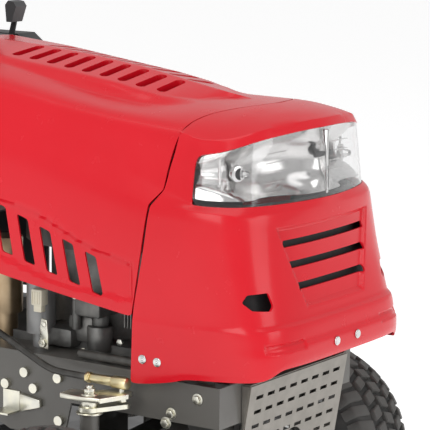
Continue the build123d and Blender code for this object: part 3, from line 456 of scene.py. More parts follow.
hood = {"rear": 100, "wall": 3, "columns": 22, "seamGap": 2,
        "slotRows": 9, "slotFirst": 250, "slotPitch": 35.9, "slotIn": 8, "slotOut": 83, "slotWidth": 17,
        "louvres": 5, "louvreFirst": 322, "louvrePitch": 44.5, "louvreWidth": 22, "louvreSlant": 14}

hoodRows = (   # where the row meets the seam, half widths, heights
    (593, ((100, 226), (600, 221)), ((100, 616), (334, 562), (470, 542), (600, 524))),
    (594, ((100, 227.5), (600, 222.5)), ((100, 624), (334, 571), (470, 551), (600, 533))),
    (602, ((100, 229), (600, 223.5)), ((100, 655), (334, 612), (600, 575))),
    (609, ((100, 230), (600, 224)), ((100, 700), (334, 660), (600, 617))),
    (616, ((100, 230), (600, 223)), ((100, 760), (334, 712), (470, 690), (600, 665))),
    (620, ((100, 227), (600, 221.5)), ((100, 802), (331, 764), (414, 745), (487, 725), (548, 708), (626, 689))),
    (622, ((100, 222), (600, 219)), ((100, 822), (331, 781), (414, 762), (487, 741), (548, 724), (626, 703))),
    (642, ((100, 209), (600, 208)), ((100, 852), (321, 814), (404, 799), (485, 778), (565, 755), (642, 727))),
    (647, ((100, 199), (600, 201)), ((100, 874), (340, 838), (500, 803), (600, 777), (650, 766))),
    (654, ((100, 181), (600, 185)), ((100, 893), (260, 874), (340, 860), (420, 846), (500, 835), (567, 826),
                                     (655, 815))),
    (656, ((100, 150), (650, 150)), ((100, 900), (260, 881), (340, 867), (420, 852), (500, 840), (560, 835),
                                     (655, 829))),
    (668, ((100, 118), (650, 118)), ((100, 904), (248, 888), (306, 878), (362, 866), (417, 856), (472, 848),
                                     (526, 842),
                                    (565, 839), (668, 838))),
    (690, ((100, 84), (650, 84)), ((100, 908), (248, 892), (362, 870), (472, 852), (565, 845), (690, 844))),
    (711, ((100, 44), (650, 44)), ((100, 910), (248, 894), (362, 872), (472, 855), (565, 848), (640, 849),
                                   (711, 847))),
    (720, ((100, 0), (650, 0)), ((100, 911), (248, 895), (362, 873), (472, 856), (565, 849), (640, 850), (720, 848))),
)
hoodCreases = {6: 0.45, 7: 0.55}
ventTop = {"crest": ((100, 916), (250, 908), (348, 899), (447, 887), (553, 868), (621, 856), (662, 850)),
           "edge": ((100, 910), (227, 899), (285, 892), (342, 885), (398, 878), (461, 870), (507, 862), (544, 855),
                    (610, 846)),
           "edgeHalf": ((100, 92), (520, 92), (560, 80), (600, 50), (632, 0)),
           "footHalf": ((100, 119), (530, 118), (570, 110), (605, 92), (634, 60), (664, 0))}
sideLeaf = {"upper": ((290, 690), (333, 686), (414, 669), (493, 635), (532, 623), (589, 611)),
            "lower": ((290, 598), (335, 587), (428, 560), (468, 553), (559, 548), (589, 547)),
            "rear": 288, "front": 596, "depth": 4.5, "ease": 7}


def creaseEdges(obj, wanted):
    layer = obj.data.attributes.new("crease_edge", "FLOAT", "EDGE")
    for edge in obj.data.edges:
        layer.data[edge.index].value = wanted(edge.vertices[0], edge.vertices[1])


def mirrored(obj):
    modified(obj, "MIRROR", use_axis=(True, False, False), merge_threshold=0.0001, use_clip=False)
    return outward(obj)


def subdivided(obj, levels):
    return modified(obj, "SUBSURF", levels=levels, render_levels=levels)


def raisePlateau(x, f, z):
    half = between(ventTop["footHalf"], f)
    if x >= half or f > 663:
        return z
    flat = between(ventTop["edgeHalf"], f)
    share = easing(half - x, 0, max(half - flat, 1))
    top = between(ventTop["crest"], f)
    rim = between(ventTop["edge"], f)
    target = top - (top - rim) * min(1.0, x / max(flat, 1.0))
    return z + share * max(0.0, target - z)


def leafDepth(f, z):
    reach = min(z - between(sideLeaf["lower"], f), between(sideLeaf["upper"], f) - z,
                f - sideLeaf["rear"], sideLeaf["front"] - f)
    return sideLeaf["depth"] * easing(reach, 0, sideLeaf["ease"])


def slotCutter(x, y, z, length, width, deep):
    half, round_ = (length - width) / 2, width / 2
    points = [(x + half * side + round_ * cos(a), y + round_ * sin(a))
              for side, start in ((1, -pi / 2), (-1, pi / 2)) for a in [start + pi * step / 8 for step in range(9)]]
    return prism(points, "z", z - deep, z + 60)


def makeHood():
    rows = []
    for seamAt, widths, heights in hoodRows:
        row = []
        for column in range(hood["columns"] + 1):
            f = hood["rear"] + (seamAt - hood["seamGap"] / 2 - hood["rear"]) * column / hood["columns"]
            row.append((-between(widths, f), -f, between(heights, f)))
        rows.append(row)
    obj = sheetOf(rows)
    wide = hood["columns"] + 1
    creaseEdges(obj, lambda a, b: hoodCreases.get(a // wide, 0) if a // wide == b // wide else 0)
    mirrored(obj)
    subdivided(obj, 3)
    for vertex in obj.data.vertices:
        x, f, z = abs(vertex.co.x) / mm, -vertex.co.y / mm, vertex.co.z / mm
        if x < 125:
            vertex.co.z = raisePlateau(x, f, z) * mm
        if x > 212 and z < 700:
            vertex.co.x -= leafDepth(f, z) * mm * (1 if vertex.co.x > 0 else -1)
    modified(obj, "SOLIDIFY", thickness=hood["wall"] * mm, offset=-1)
    cutters = []
    for index in range(hood["slotRows"]):
        f = hood["slotFirst"] + hood["slotPitch"] * index
        top = between(ventTop["crest"], f)
        out = hood["slotOut"] if index < 8 else hood["slotOut"] - 8
        long, middle = out - hood["slotIn"], (out + hood["slotIn"]) / 2
        for side in (-1, 1):
            cutters.append(slotCutter(side * middle, -f, top, long, hood["slotWidth"], 70))
    for index in range(hood["louvres"]):
        y = -hood["louvreFirst"] - hood["louvrePitch"] * index
        top = 678 - 15 * index
        low = top - 84 + 4 * index
        wide, slant = hood["louvreWidth"], hood["louvreSlant"]
        points = ((y, top), (y - wide, top - 7), (y - wide - slant, low), (y - slant, low + 5))
        for side in (-240, 190):
            cutter = prism(points, "x", side, side + 50)
            modified(cutter, "BEVEL", width=4.5 * mm, segments=4, limit_method="ANGLE", angle_limit=radians(40),
                     affect="EDGES")
            cutters.append(cutter)
    cutWith(obj, joined(cutters))
    return obj


def slotSleeves():
    pieces = []
    for index in range(hood["slotRows"]):
        f = hood["slotFirst"] + hood["slotPitch"] * index
        top, rim = between(ventTop["crest"], f), between(ventTop["edge"], f)
        out = hood["slotOut"] if index < 8 else hood["slotOut"] - 8
        long, middle = out - hood["slotIn"], (out + hood["slotIn"]) / 2
        for side in (-1, 1):
            half, big = (long - hood["slotWidth"]) / 2, hood["slotWidth"] / 2
            loops = []
            for grow, drop in ((0.1, 1.2), (0.1, 16), (1.6, 16), (1.6, 2.6)):
                loop = []
                for end, start in ((1, -pi / 2), (-1, pi / 2)):
                    for step in range(9):
                        a = start + pi * step / 8
                        x = side * middle + half * end + (big + grow) * cos(a)
                        y = -f + (big + grow) * sin(a)
                        share = min(1, abs(x) / 92)
                        loop.append((x, y, top - (top - rim) * share - drop + (y + f) * 0.13))
                loops.append(loop + [loop[0]])
            pieces.append(sheetOf(loops + [loops[0]]))
    return outward(joined(pieces), 0.00005)


hoodShell = dressed(makeHood(), "hood_shell", "hood", redPaint, ["hood_panel"], 28)
dressed(slotSleeves(), "hood_slot_walls", "hood", redPaint)
print("hood made", len(hoodShell.data.polygons))


nose = {"wall": 3, "crest": ((640, 851), (720, 848), (760, 842), (790, 834), (800, 829)), "drop": 37,
        "plan": ((216, 120), (213, 98), (208.5, 78), (202, 61), (193, 47.5), (181, 37), (166, 28), (149, 20.5),
                 (130, 15), (108, 10), (84, 6), (57, 2.8), (29, 0.8), (0, 0)),
        "sideSteps": (0, 0.3, 0.62, 0.86)}
noseRows = (   # height at the seam, height in front, reach in front, half width, squareness of the corner
    (420, 466, 845, 223, 1.9),
    (428, 473, 848, 224, 1.9),
    (446, 484, 848, 224.5, 1.9),
    (474, 497.5, 847.5, 225, 1.9),
    (492, 501.5, 843, 225, 1.85),
    (510, 522, 840, 225, 1.8),
    (520, 527, 838.5, 225, 1.75),
    (528, 532, 831, 224.5, 1.7),
    (548, 549, 828, 224, 1.6),
    (585, 580, 822, 223.5, 1.45),
    (618, 615, 816.5, 223, 1.3),
    (648, 648, 813, 222.5, 1.2),
    (676, 672, 812, 221.5, 1.1),
    (690, 686, 812, 221, 1.05),
    (702, 696, 811.5, 219, 1.0),
    (727, 708, 811, 208, 0.85),
    (745, 735, 808.5, 205, 0.82),
    (765, 775, 805.5, 201.5, 0.82),
    (785, 817, 803, 196, 0.82),
    (815, 829, 798, 186, 0.82),
)
lensLow, lensHigh, lensStart = 15, 18, 4
seamTop = ((186, 654), (150, 656), (118, 668), (84, 690), (44, 711), (0, 720))


def alongNose(column):
    return easing(column, len(nose["sideSteps"]) - 2, len(nose["sideSteps"]) + 8)


def nosePoint(row, column):
    seamZ, frontZ, reach, half, square = noseRows[row]
    steps = nose["sideSteps"]
    z = seamZ + (frontZ - seamZ) * alongNose(column)
    if row == 0:
        z = (420, 424, 430, 436, 441, 444, 446, 448, 450, 455, 465, 466, 466, 466, 466, 466, 466, 466)[column]
    if row == 1:
        z = (428, 432, 438, 444, 449, 452, 454, 456, 458, 463, 472, 473, 473, 473, 473, 473, 473, 473)[column]
    if row == 15:
        z = (727, 721, 715, 711, 709, 708, 708, 708, 708, 708, 708, 708, 708, 708, 708, 708, 708, 708)[column]
    if row == 18:
        z = (780, 779, 778, 779, 783, 786, 789, 793, 797, 801, 805, 808, 810.5, 812.5, 814.5, 816, 817, 817)[column]
    if row == 19:
        z = (815, 812, 809, 807, 806, 806, 807, 809, 812, 815.5, 819, 822, 824.5, 826.5, 828, 829, 829.5,
             829.5)[column]
    if row in (16, 17):
        share = 0.36 if row == 16 else 0.7
        low, high = nosePoint(15, column)[2], nosePoint(18, column)[2]
        z = low + (high - low) * share
        if column == 0:
            z = seamZ
    if column < len(steps):
        seamF = {0: 591, 1: 591.3, 2: 592, 3: 593, 4: 593.5, 5: 594, 6: 594.3, 7: 595, 8: 597, 9: 604, 10: 610,
                 11: 614.5, 12: 618, 13: 620.5, 14: 622.5, 15: 641, 16: 645, 17: 648, 18: 651,
                 19: 654}[row] + hood["seamGap"]
        f = seamF + (reach - 120 - (reach - 813) * 0.9 - seamF) * steps[column]
        return (-half, -f, z)
    x, back = nose["plan"][column - len(steps)]
    far = reach - 693
    return (-x * half / 216, -(reach - far * (back / 120) ** square), z)


def noseTop(x, f):
    return between(nose["crest"], f) - nose["drop"] * (min(abs(x), 190) / 186) ** 2.4


def makeNoseSheets():
    last = len(nose["sideSteps"]) + len(nose["plan"]) - 1
    wall = [[nosePoint(row, column) for column in range(last + 1)] for row in range(len(noseRows))]
    top = []
    for step in range(1, 6):
        share = step / 5
        row = []
        for column in range(last + 1):
            x, y, z = wall[-1][column]
            along = column / last
            place = along * (len(seamTop) - 1)
            index = min(int(place), len(seamTop) - 2)
            (xa, fa), (xb, fb) = seamTop[index], seamTop[index + 1]
            part = place - index
            seamX, seamF = xa + (xb - xa) * part, fa + (fb - fa) * part + hood["seamGap"]
            topX, topF = -x + (seamX + x) * share, -y + (seamF + y) * share
            lift = (1 - share) ** 2 * (z - noseTop(x, -y))
            row.append((-topX, -topF, noseTop(topX, topF) + lift))
        top.append(row)
    return wall, top


def noseWindow(keep):
    wall, top = makeNoseSheets()
    wide = len(wall[0])
    obj = sheetOf(wall + top)
    selectOnly(obj)
    for polygon in obj.data.polygons:
        rows = [vertex // wide for vertex in polygon.vertices]
        columns = [vertex % wide for vertex in polygon.vertices]
        inside = min(rows) >= lensLow and max(rows) <= lensHigh and min(columns) >= lensStart
        polygon.select = inside != keep
    for part in (*obj.data.vertices, *obj.data.edges):
        part.select = False
    bpy.context.tool_settings.mesh_select_mode = (False, False, True)
    bpy.ops.object.mode_set(mode="EDIT")
    bpy.ops.mesh.delete(type="FACE")
    bpy.ops.object.mode_set(mode="OBJECT")
    return obj


def grilleDepth(x, z):
    half = 84 + (z - 547) * (136 - 84) / (674 - 547)
    reach = min(half - abs(x), 675 - z, z - 547)
    return 6 * easing(reach, 0, 7)


def bumperPocket(x, z):
    return 3.5 * easing(min(abs(x) - 112, 196 - abs(x), z - 490, 506 - z), 0, 4)


def ventSlot(outline, low, high):
    return prism(outline, "y", low, high, bevel=3, segments=3)


def makeNose():
    obj = noseWindow(False)
    rowsOf = {4: 0.4, 6: 0.5, 7: 0.4, 14: 0.45, 15: 0.4, 19: 0.75}
    columnCrease = {8: 0.35}

    def crease(a, b):
        if a >= wide * 20 or b >= wide * 20:
            return 0
        if a // wide == b // wide:
            return rowsOf.get(a // wide, 0)
        return columnCrease.get(a % wide, 0) if 7 <= a // wide <= 13 else 0

    index = {}
    layer = obj.data.attributes.new("crease_edge", "FLOAT", "EDGE")
    wall, top = makeNoseSheets()
    wide = len(wall[0])
    for number, point in enumerate([p for row in wall + top for p in row]):
        index.setdefault(tuple(round(value, 3) for value in point), number)
    named = [index.get(tuple(round(value / mm, 3) for value in vertex.co), 10 ** 6) for vertex in obj.data.vertices]
    for edge in obj.data.edges:
        layer.data[edge.index].value = crease(named[edge.vertices[0]], named[edge.vertices[1]])
    mirrored(obj)
    subdivided(obj, 3)
    for vertex in obj.data.vertices:
        x, y, z = (value / mm for value in vertex.co)
        if y < -770 and z < 700:
            vertex.co.y += (grilleDepth(x, z) + bumperPocket(x, z)) * mm
    modified(obj, "SOLIDIFY", thickness=nose["wall"] * mm, offset=-1)
    cutters = []
    for z, half in ((647, 119), (614, 110), (580, 99)):
        outline = [(-half, z - 5.5), (half, z - 5.5), (half - 2, z + 5.5), (-half + 2, z + 5.5)]
        cutters.append(ventSlot(outline, -900, -700))
    for side in (-1, 1):
        outline = [(side * x, z) for x, z in ((163, 560), (170, 553), (197, 556), (205, 568), (199, 580), (168, 581))]
        cutters.append(ventSlot(outline, -900, -700))
    cutWith(obj, joined(cutters))
    return obj


noseShell = dressed(makeNose(), "nose_shell", "hood", redPaint, ["nose_piece"], 28)
print("nose made", len(noseShell.data.polygons))


# The headlight band: a clear lens, two bright bowls behind it, the bulbs and the middle divider.

lamp = {"lensWall": 2.4, "lensIn": 1.2, "bowlX": 112, "bowlHalf": 92, "rim": 7, "depth": 52, "levels": 14,
        "wall": 1.6, "bulbX": 150, "bulbY": -733, "bulbZ": 754}


def makeLens():
    obj = noseWindow(True)
    mirrored(obj)
    subdivided(obj, 3)
    smooth(obj, 60)
    for vertex in obj.data.vertices:
        vertex.co -= vertex.normal * lamp["lensIn"] * mm
    modified(obj, "SOLIDIFY", thickness=lamp["lensWall"] * mm, offset=-1)
    return obj


def lampFloor(x, share):
    side = abs(x)
    across = (side - lamp["bowlX"]) / lamp["bowlHalf"]
    up = (share - 0.5) * 2
    bowl = max(0.0, 1 - across * across * 0.9 - up * up * 0.75)
    return lamp["rim"] + lamp["depth"] * bowl ** 0.6


def makeReflector():
    wall = makeNoseSheets()[0]
    last = len(wall[0]) - 1
    rows = []
    for level in range(lamp["levels"] + 1):
        share = level / lamp["levels"]
        row = []
        for column in range(lensStart, last + 1):
            low, high = Vector(wall[lensLow][column]), Vector(wall[lensHigh][column])
            point = low.lerp(high, share)
            before = Vector(wall[lensLow + 1][max(column - 1, lensStart)])
            after = Vector(wall[lensLow + 1][min(column + 1, last)])
            along = (after - before).normalized()
            inward = along.cross(Vector((0, 0, 1))).normalized()
            if inward.dot(Vector((0, -600, 760)) - point) < 0:
                inward = -inward
            if column == last:
                inward = Vector((0, 1, 0))
            shrink = 8 * (1 - share)
            row.append(tuple(point + inward * lampFloor(point.x, share) + Vector((0, 0, shrink))))
        rows.append(row)
    obj = sheetOf(rows)
    mirrored(obj)
    subdivided(obj, 2)
    modified(obj, "SOLIDIFY", thickness=lamp["wall"] * mm, offset=-1)
    return obj


def makeLampDetails():
    bright, dark, glass = [], [], []
    for side in (-1, 1):
        x, y, z = side * lamp["bulbX"], lamp["bulbY"], lamp["bulbZ"]
        bright.append(rod((x, y - 1, z), (x + side * 3, y - 9, z), 13, 40, 1.2))
        dark.append(rod((x, y - 8, z), (x + side * 0.5, y - 10, z), 9.5, 32, 0.5))
        glass.append(rod((x, y - 8, z), (x, y - 24, z), 6, 24, 2.5, endRadius=5))
        bright.append(prism([(-724 + d, zed) for d, zed in ((0, 724), (3, 724), (3, 788), (0, 788))], "x",
                            side * 176 - 0.8, side * 176 + 0.8, 0.4))
        for level in range(5):
            z = 722 + level * 15
            bright.append(block((side * 92 - 26, side * 92 + 26), (-770, -766), (z, z + 1.2), 0.3, 1))
    divider = block((-3, 3), (-806, -745), (712, 812), 1.0)
    dark.append(block((-26, 26), (-800, -794), (770, 778), 1.5))
    bright.append(divider)
    return joined(bright), joined(dark), joined(glass)


dressed(makeLens(), "headlight_lens_shell", "hood", clearLens, ["headlight_lens"], 60)
dressed(makeReflector(), "headlight_bowls", "hood", reflectorChrome, ["headlight_reflector"], 50)
trim, sockets, bulbs = makeLampDetails()
dressed(trim, "headlight_trim", "hood", reflectorChrome)
dressed(sockets, "headlight_sockets", "hood", mouldedBlack)
dressed(bulbs, "headlight_bulbs", "hood", clearLens)
print("headlight made")


# Tyres: a rounded carcass with staggered chunky lugs, all copied round from one lug a row.

tyres = {"front": {"radius": 186, "half": 74, "rim": 80, "lug": 8, "rows": (-54, -27, 0, 27, 54),
                   "count": 38, "place": (371, -550, 186)},
         "rear": {"radius": 228, "half": 104, "rim": 107, "lug": 10, "rows": (-82, -49, -16, 16, 49, 82),
                  "count": 38, "place": (335, 620, 228)},
         "lugLong": 20, "lugWide": 21}


def crownDrop(size, x):
    return 30 * (abs(x) / size["half"]) ** 3


def makeCarcass(size):
    base, half, rim = size["radius"] - size["lug"], size["half"], size["rim"]
    wall = base - rim
    outer = [(0.70, 0), (0.78, -0.01), (0.85, 0.06), (0.92, 0.2), (1.0, 0.45), (0.99, 0.62), (0.95, 0.76),
             (0.86, 0.87), (0.70, 0.925), (0.48, 0.968), (0.24, 0.992)]
    inner = [(0.64, 0.0), (0.60, 0.12), (0.86, 0.45), (0.68, 0.78), (0.0, 0.88)]
    section = [(x * half, rim + level * wall) for x, level in outer] + [(0, base)]
    section += [(-x, level) for x, level in reversed(section[:-1])]
    lining = [(x * half, rim + level * wall) for x, level in inner]
    section += [(-x, level) for x, level in lining] + list(reversed(lining[:-1]))
    px, py, pz = size["place"]
    steps = 72
    rows = [[(px + x, py + level * cos(2 * pi * step / steps), pz + level * sin(2 * pi * step / steps))
             for x, level in section + section[:1]] for step in range(steps + 1)]
    return outward(sheetOf(rows))


def makeLug(size, x, skew):
    top = size["radius"] - crownDrop(size, x)
    half = tyres["lugWide"] / 2
    obj = block((x - half, x + half), (-tyres["lugLong"] / 2, tyres["lugLong"] / 2), (top - 24, top), 2, 1)
    outerRow = abs(x) > size["half"] * 0.7
    for vertex in obj.data.vertices:
        beside = vertex.co.x - x * mm
        vertex.co.z -= 30 * mm * ((abs(vertex.co.x) / (size["half"] * mm)) ** 3 - (abs(x) / size["half"]) ** 3)
        depth = top * mm - vertex.co.z
        vertex.co.y = vertex.co.y * (1 + 5 * depth) + beside * skew
        if outerRow and beside * x > 0:
            vertex.co.x += (3 * mm + depth * 0.25) * (1 if x > 0 else -1)
        angle = vertex.co.y / (top * mm)
        vertex.co.y, vertex.co.z = vertex.co.z * sin(angle), vertex.co.z * cos(angle)
    return obj


def makeTyre(size, side):
    centre = Vector(size["place"]) * mm
    step = 2 * pi / size["count"]
    lugs = []
    for index, x in enumerate(size["rows"]):
        first = makeLug(size, x, 0.35 if index % 2 else -0.35)
        first.data.transform(Matrix.Rotation(step / 2 * (index % 2), 4, "X"))
        lugs.append(first)
        lugs += [copied(first, turn=Matrix.Rotation(step * number, 4, "X")) for number in range(1, size["count"])]
    tread = joined(lugs)
    tread.data.transform(Matrix.Translation(centre))
    ribs = []
    for level in (0.30, 0.52):
        x = size["place"][0] + size["half"] * (0.975 if level < 0.4 else 1.0)
        radius = size["rim"] + level * (size["radius"] - size["lug"] - size["rim"])
        bpy.ops.mesh.primitive_torus_add(major_segments=72, minor_segments=8, major_radius=radius * mm,
                                         minor_radius=1.6 * mm, location=(x * mm - 0.001, centre.y, centre.z),
                                         rotation=(0, pi / 2, 0))
        ribs.append(atOrigin(bpy.context.object))
    tyre = joined([makeCarcass(size), tread] + ribs)
    return mirroredOnly(tyre) if side < 0 else tyre


def mirroredOnly(obj):
    other = mirroredX(obj)
    bpy.data.objects.remove(obj)
    return other


for end in ("front", "rear"):
    for side, word in ((1, "left"), (-1, "right")):
        dressed(makeTyre(tyres[end], side), f"{end}_turf_tyre_{word}", f"{end}_wheel_{word}",
                tyreRubber, [f"{end}_tyre_{word}"], 40)
print("tyres made")


# The seat: two cloth-puffed pads with pressed channels.

seat = {"low": 619, "high": 680, "front": 370, "back": 758, "half": 214, "corner": 60, "voxel": 5, "pressure": 4,
        "cap": 9, "channel": 5, "backHalf": 203, "backLow": 690, "backHigh": 978, "backFront": 678, "backRear": 756,
        "lean": 56, "dish": 9, "seamX": 132, "seamWidth": 8, "seamMost": 7, "seamRows": (440, 510, 580, 650),
        "backSeamX": 125, "backSeamRows": (760, 820, 880, 934), "backDish": 8, "frames": 20}


def puffed(obj, cap):
    modified(obj, "REMESH", mode="VOXEL", voxel_size=seat["voxel"] * mm)
    start = [vertex.co.copy() for vertex in obj.data.vertices]
    selectOnly(obj)
    cloth = obj.modifiers.new("puff", "CLOTH")
    cloth.settings.use_pressure = True
    cloth.settings.uniform_pressure_force = seat["pressure"]
    cloth.settings.effector_weights.gravity = 0
    cloth.point_cache.frame_start, cloth.point_cache.frame_end = 1, seat["frames"]
    for number in range(1, seat["frames"] + 1):
        bpy.context.scene.frame_set(number)
    bpy.ops.object.modifier_apply(modifier="puff")
    bpy.context.scene.frame_set(1)
    for vertex, before in zip(obj.data.vertices, start):
        move = vertex.co - before
        if move.length > cap * mm:
            vertex.co = before + move.normalized() * cap * mm
    return obj


def groove(distance):
    return seat["channel"] * mm * max(0.0, 1 - (distance / (seat["seamWidth"] * mm)) ** 2) ** 2


def seamsAt(x, along, seamX, rows):
    depth = groove(abs(abs(x) - seamX * mm))
    if abs(x) < (seamX + 2) * mm:
        depth += sum(groove(abs(along - line * mm)) for line in rows)
    return min(depth, seat["seamMost"] * mm)


def makeCushion():
    base = block((-seat["half"], seat["half"]), (seat["front"], seat["back"]), (seat["low"], seat["high"] - 4))
    modified(base, "BEVEL", width=seat["corner"] * 0.5 * mm, segments=6, limit_method="ANGLE",
             angle_limit=radians(40))
    puffed(base, seat["cap"])
    middle, deep = (seat["front"] + seat["back"]) / 2 * mm, (seat["back"] - seat["front"]) / 2 * mm
    for vertex in base.data.vertices:
        x, y, z = vertex.co
        vertex.co.z = max(z, seat["low"] * mm)
        if z > (seat["high"] - 32) * mm:
            across, along = abs(x) / (seat["half"] * mm), (y - middle) / deep
            dish = seat["dish"] * mm * max(0.0, 1 - (across / 0.72) ** 2) * max(0.0, 1 - (along / 0.95) ** 2)
            vertex.co.z -= seamsAt(x, y, seat["seamX"], seat["seamRows"]) + dish
    modified(base, "SUBSURF", levels=1, render_levels=1)
    return base


def leaned(obj):
    for vertex in obj.data.vertices:
        share = (vertex.co.z / mm - seat["backLow"]) / (seat["backHigh"] - seat["backLow"])
        vertex.co.y += share * seat["lean"] * mm
    return obj


def makeBackPad():
    base = block((-seat["backHalf"], seat["backHalf"]), (seat["backFront"] + 4, seat["backRear"] - 10),
                 (seat["backLow"], seat["backHigh"]))
    modified(base, "BEVEL", width=30 * mm, segments=6, limit_method="ANGLE", angle_limit=radians(40))
    puffed(base, seat["cap"])
    for vertex in base.data.vertices:
        x, y, z = vertex.co
        if y < (seat["backFront"] + 34) * mm:
            dish = seat["backDish"] * mm * max(0.0, 1 - (x / 0.13) ** 2)
            vertex.co.y += seamsAt(x, z, seat["backSeamX"], seat["backSeamRows"]) + dish
        share = (z / mm - seat["backLow"]) / (seat["backHigh"] - seat["backLow"])
        vertex.co.x *= 1 - 0.10 * max(0.0, share) ** 3
    modified(base, "SUBSURF", levels=1, render_levels=1)
    return leaned(base)


cushion = dressed(makeCushion(), "seat_pad", "seat", vinyl, ["seat_cushion"], 80)
backPad = dressed(makeBackPad(), "seat_back_pad", "seat", vinyl, ["seat_back"], 80)
print("seat made")


# Finishes for the steel and plastic pieces that keep their own shape.

finishes = {framePaint: ("frame_rails", "frame_brackets", "axle_hanger", "axle_beam", "running_boards",
                         "seat_carrier", "seat_pan", "drag_link_left", "drag_link_right", "deck_fittings",
                         "brake_pedal", "lift_lever", "shift_lever"),
            zincPlate: ("frame_hardware", "kingpin_left", "kingpin_right", "sector_gear", "steering_pinion",
                        "transaxle_pulley"),
            brightSteel: ("hood_hardware", "crankshaft", "ignition_key", "steering_shaft"),
            mouldedBlack: ("battery", "console", "gauge_wheel_left", "gauge_wheel_right", "discharge_chute",
                           "pto_lever", "throttle_lever"),
            rimPaint: ("front_rim_left", "front_rim_right", "rear_rim_left", "rear_rim_right"),
            castAlloy: ("crankcase", "carburettor", "transaxle"), engineBlack: ("blower_housing", "muffler"),
            starterGold: ("starter_motor",), filterGrey: ("oil_filter",), guardSteel: ("muffler_guard",),
            tankWhite: ("fuel_tank",), beltRubber: ("drive_belt", "deck_belt"), deckPaint: ("deck_shell",),
            bladeSteel: ("blade_left", "blade_right"), redPaint: ("fender_deck",), softGrip: ("steering_wheel",)}
for material, names in finishes.items():
    for name in names:
        node = frame["nodes"][name]
        if not node.material_slots:
            node.data.materials.append(material)
        for slot in node.material_slots:
            slot.material = material
print("finishes set")


# Painted shade: a black sheet just inside the nose wall, standing in for the shade seen through the grille and the
# vents.

shadeSheet = {"shrink": 0.9, "middle": -600, "firstRow": 4, "wall": 2}


def makeShadeSheet():
    shrink, middle = shadeSheet["shrink"], shadeSheet["middle"]
    wall = makeNoseSheets()[0][shadeSheet["firstRow"]:lensLow + 1]
    rows = [[(x * shrink, middle + (y - middle) * shrink, z) for x, y, z in row] for row in wall]
    obj = sheetOf(rows)
    mirrored(obj)
    modified(obj, "SOLIDIFY", thickness=shadeSheet["wall"] * mm, offset=-1)
    return obj


# The black sheet is painted shade behind the grille and the vents.
dressed(makeShadeSheet(), "nose_shade_sheet", "hood", mouldedBlack)


# The engine bay, seen between the hood and the rail: castings, the throttle linkage and the wiring plug.

bay = {"plugX": -171, "plugY": -372, "leverX": -178, "leverY": -387, "castX": -128, "castY": -462}


def hexHead(place, axis, radius, high):
    end = Vector(place) + Vector(axis) * high
    return rod(place, tuple(end), radius, 6, radius * 0.14)


def makePlug():
    x, y = bay["plugX"], bay["plugY"]
    parts = [block((x - 9, x + 9), (y - 11, y + 11), (507, 534), 2.5),
             block((x - 6, x + 6), (y - 8, y + 8), (496, 508), 1.5)]
    parts += [block((x - 10.2, x - 8), (y - 8 + step * 5, y - 6 + step * 5), (510, 530), 0.6, 1) for step in range(4)]
    return joined(parts)


def makeThrottleArm():
    x, y = bay["leverX"], bay["leverY"]
    plate = prism([(y - 6, 486), (y + 5, 488), (y + 8, 470), (y + 8, 440), (y - 9, 438), (y - 9, 458)], "x", x - 1.5,
                  x + 1.5, 1)
    return joined([plate, hexHead((x - 1, y, 448), (-1, 0, 0), 7.5, 6),
                   rod((x - 1, y, 448), (x - 9, y, 448), 3.6, 20, 0.6),
                   rod((x - 1, y - 1, 479), (x - 3.5, y - 1, 479), 4.5, 24, 0.6)])


def makeCastings():
    x, y = bay["castX"], bay["castY"]
    parts = [block((x - 26, x + 34), (y - 18, y + 34), (494, 524), 5), rod((x, y, 436), (x, y, 478), 21, 40, 2.5),
             rod((x, y - 2, 478), (x, y - 2, 500), 13, 32, 2),
             block((x - 10, x + 40), (y + 8, y + 60), (446, 492), 9),
             rod((x - 18, y + 34, 470), (x - 18, y + 34, 520), 7, 24, 1.5),
             block((x - 24, x + 60), (y + 40, y + 110), (436, 470), 10)]
    parts += [block((x - 22, x + 20), (y - 66 - step * 6, y - 63 - step * 6), (486, 516), 0.8, 1)
              for step in range(6)]
    return joined(parts)


def makeSill():
    parts = []
    for side in (-1, 1):
        low, high = sorted((side * 176, side * 193))
        parts.append(block((low, high), (-600, -462), (436, 450), 6, 3))
    return joined(parts)


def makeBolts():
    parts = [hexHead((bay["castX"] - 18, bay["castY"] + 34, 520), (0, 0, 1), 7, 5),
             hexHead((-150, -520, 462), (-1, 0, 0), 6, 5), hexHead((-140, -440, 436), (-1, 0, 0), 5, 5)]
    return joined(parts)


def makeClips():
    parts = []
    for side in (-1, 1):
        low, high = sorted((side * 195.4, side * 203))
        parts.append(prism([(-355, 364), (-396, 359), (-398, 347), (-357, 334)], "x", low, high, 1.2))
        for y, z in ((-651, 375), (-641, 359), (-700, 405)):
            parts += [rod((side * 195.2, y, z), (side * 197, y, z), 9.5, 32, 0.5),
                      hexHead((side * 197, y, z), (side, 0, 0), 7, 5)]
    return joined(parts)


dressed(makePlug(), "wiring_plug", "chassis", creamPlastic)
dressed(makeThrottleArm(), "governor_arm", "chassis", zincPlate)
dressed(makeCastings(), "intake_castings", "chassis", castAlloy)
dressed(makeSill(), "engine_sill", "chassis", framePaint)
dressed(makeBolts(), "bay_bolts", "chassis", zincPlate)
dressed(makeClips(), "rail_clips", "chassis", zincPlate)


# The steering joint at each front corner: the bent link, its gold socket, and the plated arm on the kingpin.

joint = {"y": -578, "x": 226, "z": 419, "link": 5.6, "armLow": 398, "armHigh": 406}


def makeLink(side):
    x, z = joint["x"], joint["z"]
    route = [(60, 55.8, 472.5), (128, -150, 472.5), (186, -262, 472), (204, -310, 462), (214, -376, 440),
             (224, -432, 421), (x, -462, z), (x, -512, z)]
    return tubeAlong([(side * a, b, c) for a, b, c in route], joint["link"], 10, 5)


def makeSocket(side):
    x, z = side * joint["x"], joint["z"]
    parts = [rod((x, -510, z), (x, -516, z), 9.5, 6, 1.2), rod((x, -516, z), (x, -566, z), 7.4, 32, 1, endRadius=8.4),
             rod((x, -560, z), (x, -590, z), 10, 32, 3), rod((x, -516, z), (x, -519, z), 8.8, 32, 0.8)]
    return joined(parts)


